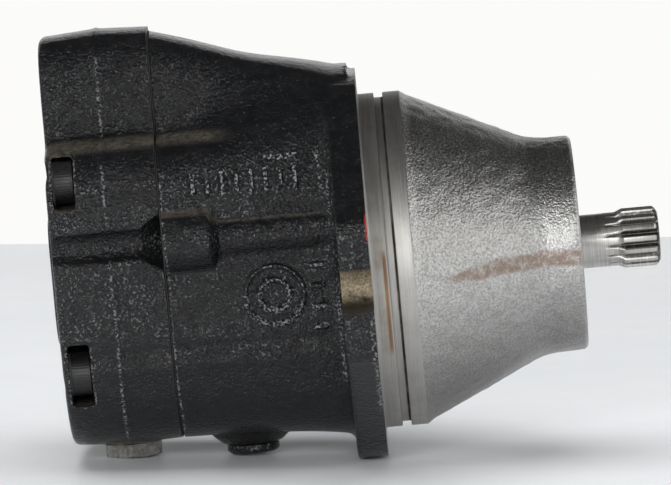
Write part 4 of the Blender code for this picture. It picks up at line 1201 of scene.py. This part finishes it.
def paint_faces(obj, materials, choose):
    """Give each face the material whose number choose(centres, normals) returns."""
    mesh = obj.data
    mesh.materials.clear()
    for material in materials:
        mesh.materials.append(material)
    chosen = choose(read_vectors(mesh.polygons, "center"), read_vectors(mesh.polygons, "normal"))
    mesh.polygons.foreach_set("material_index", chosen.astype(np.int32))
    mesh.update()


def dress(obj, material, slot, body, *nodes):
    """Finish a piece: its material, body, and the CAD nodes it stands for. Its record slot is not
    used.
    """
    if material is not None:
        obj.data.materials.clear()
        obj.data.materials.append(material)
    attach(obj, body)
    if nodes:
        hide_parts(*nodes)


def housing_faces(centres, normals):
    """0 paint, 1 the machined mounting face and the rooms inside, 2 the slots' walls, 3 the
    raised marks, whose paint has more painted sparkle highlights."""
    x, y, z = centres.T
    machined = (x > FLANGE_X[0] - 0.0002) & (normals[:, 0] > 0.9)
    machined |= (x < SPLIT_X + 0.0002) & (normals[:, 0] < -0.9)
    machined |= np.hypot(y, z) < INNER_R
    machined |= (np.abs(y) < LOBE_INNER_Y) & (z > 0) & (z < LOBE_INNER_Z)
    servo_z = SERVO_TIP_Z + (PIVOT_X - x) * math.tan(SERVO_SLOPE)
    machined |= np.hypot(y, z - servo_z) < SERVO_BORE_R + 0.0007
    in_slot = (np.abs(z) < SLOT_R + 0.0003) & (np.abs(y) > 0.080)
    wall = in_slot & (np.abs(normals[:, 0]) < 0.2) & (np.abs(y) < 0.1092)
    marked = (x > -0.1950) & (x < -0.1385) & (y < 0) & (np.abs(z - 0.0150) < 0.0380)
    tube = np.hypot(y - GALLERY_YZ[0], z - GALLERY_YZ[1]) < 0.0135
    raised = marked & ~tube & (-y - side_y(x, np.clip(z, -0.06, 0.06)) > 0.0004)
    return np.select([machined, wall, raised], [1, 2, 3], 0)


def nose_faces(centres, _normals):
    """0 the cast cone, 1 everything turned."""
    x, y, z = centres.T
    cone = (x > -0.1031) & (np.hypot(y, z) > 0.0440) & (x < NOSE_FRONT_X - 0.0003)
    return np.where(cone, 0, 1)


def cap_faces(centres, normals):
    """0 paint, 1 the machined faces and bores."""
    x, y, z = centres[:, 0], np.abs(centres[:, 1]), centres[:, 2]
    sunk = x > CAP_REAR_X + 0.0004
    ports = (np.hypot(y - PORT_YZ[0], z - PORT_YZ[1]) < 0.0176) & (x > CAP_PAD_X + 0.0002)
    servo = (np.hypot(y, z - SERVO_PLUG_Z) < 0.0121) & sunk
    heads = (np.hypot(y - 0.0195, z - 0.0700) < 0.00725) & sunk
    split = (normals[:, 0] > 0.95) & (x > CAP_FRONT_X - 0.0002)
    bore = (np.hypot(y, z) < 0.0182) & (x > -0.2305)
    return np.where(ports | servo | heads | split | bore, 1, 0)


def make_castings():
    iron, turned_iron = bare_casting(), machined_iron()
    # Painted highlight lines along edges of the housing near its split and flange
    housing_lines = [
        # x, half width, from z, to z
        (SPLIT_X + 0.0006, 0.0004, -0.060, 0.046),
        (FLANGE_X[0] - 0.0009, 0.0008, -0.055, -0.012),
        (-0.1350, 0.0007, -0.042, 0.000),
        (-0.1356, 0.0005, 0.028, 0.044),
    ]
    # Painted highlight lines on the pockets' rims
    pocket_rims = [
        (x, 0.0004, low, high)
        for x in (POCKET_REAR_X - 0.0006, POCKET_FLOOR_X + 0.0007)
        for low, high in ((0.0395, 0.0585), (-0.0425, -0.0185))
    ]
    # The cap's parting line, with painted highlight beads on its flash
    parting_lines = [
        (CAP_PARTING_X, 0.0005, 0.0300, 0.0540),
        (CAP_PARTING_X, 0.0005, -0.0600, 0.0150),
        (CAP_PARTING_X, 0.0005, 0.0660, 0.0960),
    ]
    housing_paint = black_paint("housing_paint", housing_lines, dab=True)
    cap_paint = black_paint("cap_paint", [*parting_lines, *pocket_rims])
    housing = make_housing_casting()
    # The raised marks' paint, with more painted sparkle highlights
    worn_paint = black_paint("worn_paint", sparkle_boost=1.0)
    finishes = [housing_paint, turned_iron, sandy_iron(), worn_paint]
    paint_faces(housing, finishes, housing_faces)
    dress(housing, None, "black_paint", "case", "housing")
    nose = make_nose()
    paint_faces(nose, [iron, turned_iron], nose_faces)
    dress(nose, None, "bare_iron", "case", "housing")
    cap = make_end_cap()
    paint_faces(cap, [cap_paint, turned_iron], cap_faces)
    dress(cap, None, "black_paint", "case", "end_cap")


def make_fittings():
    dress(make_shaft(), splined_steel(), "machined_steel", "rotor", "output_shaft")
    oxide = grained("oxide_steel", (0.005, 0.005, 0.006), (0.015, 0.015, 0.015), 0.50, 0.2)
    for screw, node in make_screws():
        dress(screw, oxide, "oxide_steel", "case", node)
    plug_steel = grained("plug_steel", (0.15, 0.145, 0.135), (0.32, 0.31, 0.295), 0.42, 0.9)
    dress(make_hex_plug(), plug_steel, "machined_steel", "case", "hex_plug")
    dress(make_drain_plug(), black_paint("plug_paint"), "black_paint", "case", "drain_plug")
    dress(make_servo_plug(), oxide, "oxide_steel", "case", "servo_plug")
    gasket = grained("gasket", (0.012, 0.012, 0.012), (0.035, 0.034, 0.030), 0.7, 0.0)
    dress(make_gasket(), gasket, "gasket", "case", "end_cap_gasket")
    coil = make_return_coil()
    dress(coil, wire_steel("coil_steel"), "spring_steel", "case", "return_spring")
    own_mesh(coil)


def dress_carried_nodes():
    """Procedural finishes for the CAD nodes that stay as they are, by their record slots."""
    finishes = {
        "cast_iron": grained("block_iron", (0.16, 0.16, 0.155), (0.34, 0.335, 0.33), 0.42, 0.85),
        "hardened_steel": turned_steel("ground_steel", (0.34, 0.34, 0.35), (0.46, 0.46, 0.47), 0.2),
        "bearing_steel": turned_steel("bearing_steel", (0.52, 0.52, 0.53), (0.66, 0.66, 0.67), 0.14),
        "bronze": turned_steel("bronze", (0.42, 0.25, 0.10), (0.60, 0.40, 0.18), 0.32),
        "spring_steel": wire_steel("spring_steel"),
        "rubber": grained("rubber", (0.012, 0.012, 0.012), (0.035, 0.034, 0.033), 0.6, 0.0, 1500),
    }
    for row in frame["record"]["subparts"]:
        node = frame["nodes"][row["node"]]
        if not node.hide_render:
            node.data.materials.clear()
            node.data.materials.append(finishes[row["material_slot"]])


# Stage

FLOOR_LOW = Vector((-0.2270, 0, -0.0726))
FLOOR_FRONT = Vector((-0.1334, 0, -0.0800))
LIGHT_TARGET = Vector((-0.1300, 0, 0.0100))
SURROUND_LIGHT = 0.05


def make_floor():
    """A pale table top under the plug and the flange's edge, on which the motor leans."""
    along = (FLOOR_FRONT - FLOOR_LOW).normalized()
    up = along.cross(-Y).normalized()
    if up.z < 0:
        up = -up
    origin = (FLOOR_LOW + FLOOR_FRONT) / 2 - 0.0003 * up
    corners = []
    for x, y in ((-0.65, -0.62), (0.75, -0.62), (0.75, 0.85), (-0.65, 0.85)):
        corners.append(origin + along * x + Y * y)
    floor = mesh_object("table_top", corners, [(0, 1, 2, 3)])
    material = grained("table_top", (0.86, 0.88, 0.905), (0.88, 0.90, 0.925), 0.50, 0.0, 40)
    floor.data.materials.append(material)


def area_light(name, place, size, energy, glossy=True):
    """A rectangular softbox that faces the motor and isn't itself seen by the camera."""
    light = bpy.data.lights.new(name, "AREA")
    light.shape = "RECTANGLE"
    light.size, light.size_y = size
    light.energy = energy
    obj = linked(name, light)
    obj.location = place
    obj.rotation_mode = "QUATERNION"
    obj.rotation_quaternion = (LIGHT_TARGET - Vector(place)).to_track_quat("-Z", "Y")
    obj.visible_camera = False
    obj.visible_glossy = glossy


def make_world():
    """A white surround behind the motor that throws only a little light on it."""
    world = bpy.data.worlds.new("studio")
    world.use_nodes = True
    nodes, links = world.node_tree.nodes, world.node_tree.links
    seen = nodes.new("ShaderNodeLightPath")
    strength = nodes.new("ShaderNodeMapRange")
    strength.inputs["To Min"].default_value = SURROUND_LIGHT
    strength.inputs["To Max"].default_value = 0.97
    links.new(seen.outputs["Is Camera Ray"], strength.inputs["Value"])
    links.new(strength.outputs[0], nodes["Background"].inputs["Strength"])
    nodes["Background"].inputs["Color"].default_value = (1.0, 0.995, 0.985, 1)
    bpy.context.scene.world = world


def make_lights():
    make_world()
    area_light("front_softbox", (-0.15, -2.10, 0.48), (1.1, 0.55), 10)
    area_light("front_right_softbox", (1.45, -1.40, 0.38), (0.8, 0.7), 5)
    area_light("key_light", (-0.55, -1.70, 0.50), (0.30, 0.30), 10)
    area_light("back_softbox", (-0.13, 2.10, 0.42), (2.4, 0.9), 7)
    area_light("left_softbox", (-2.10, -0.20, 0.45), (1.8, 1.0), 12)
    area_light("right_softbox", (1.90, -0.20, 0.45), (1.8, 1.0), 12)
    area_light("overhead", (-0.13, 0.10, 1.60), (1.8, 1.8), 25, glossy=False)


def make_camera():
    """A long lens a little above the table, level with it and not with the motor."""
    aim = Vector((-0.1350, 0, 0.0090))
    distance = 2.7
    yaw, elevation = math.radians(0.7), math.radians(6.0)
    back = Vector((math.sin(yaw) * math.cos(elevation), -math.cos(yaw) * math.cos(elevation), 0))
    back.z = math.sin(elevation)
    camera = bpy.data.cameras.new("camera")
    camera.lens = 346
    camera.sensor_width = 36
    camera.clip_end = 20
    obj = linked("camera", camera)
    obj.location = aim + back * distance
    level = (-back).to_track_quat("-Z", "Y").to_matrix()
    roll = Matrix.Rotation(math.radians(-5.2), 3, "Z")
    obj.rotation_mode = "QUATERNION"
    obj.rotation_quaternion = (level @ roll).to_quaternion()
    bpy.context.scene.camera = obj


for default in ("Cube", "Light", "Camera"):
    if default in bpy.data.objects:
        bpy.data.objects.remove(bpy.data.objects[default])
make_castings()
make_fittings()
dress_carried_nodes()
make_floor()
make_lights()
make_camera()
bpy.context.scene.view_settings.view_transform = "Standard"
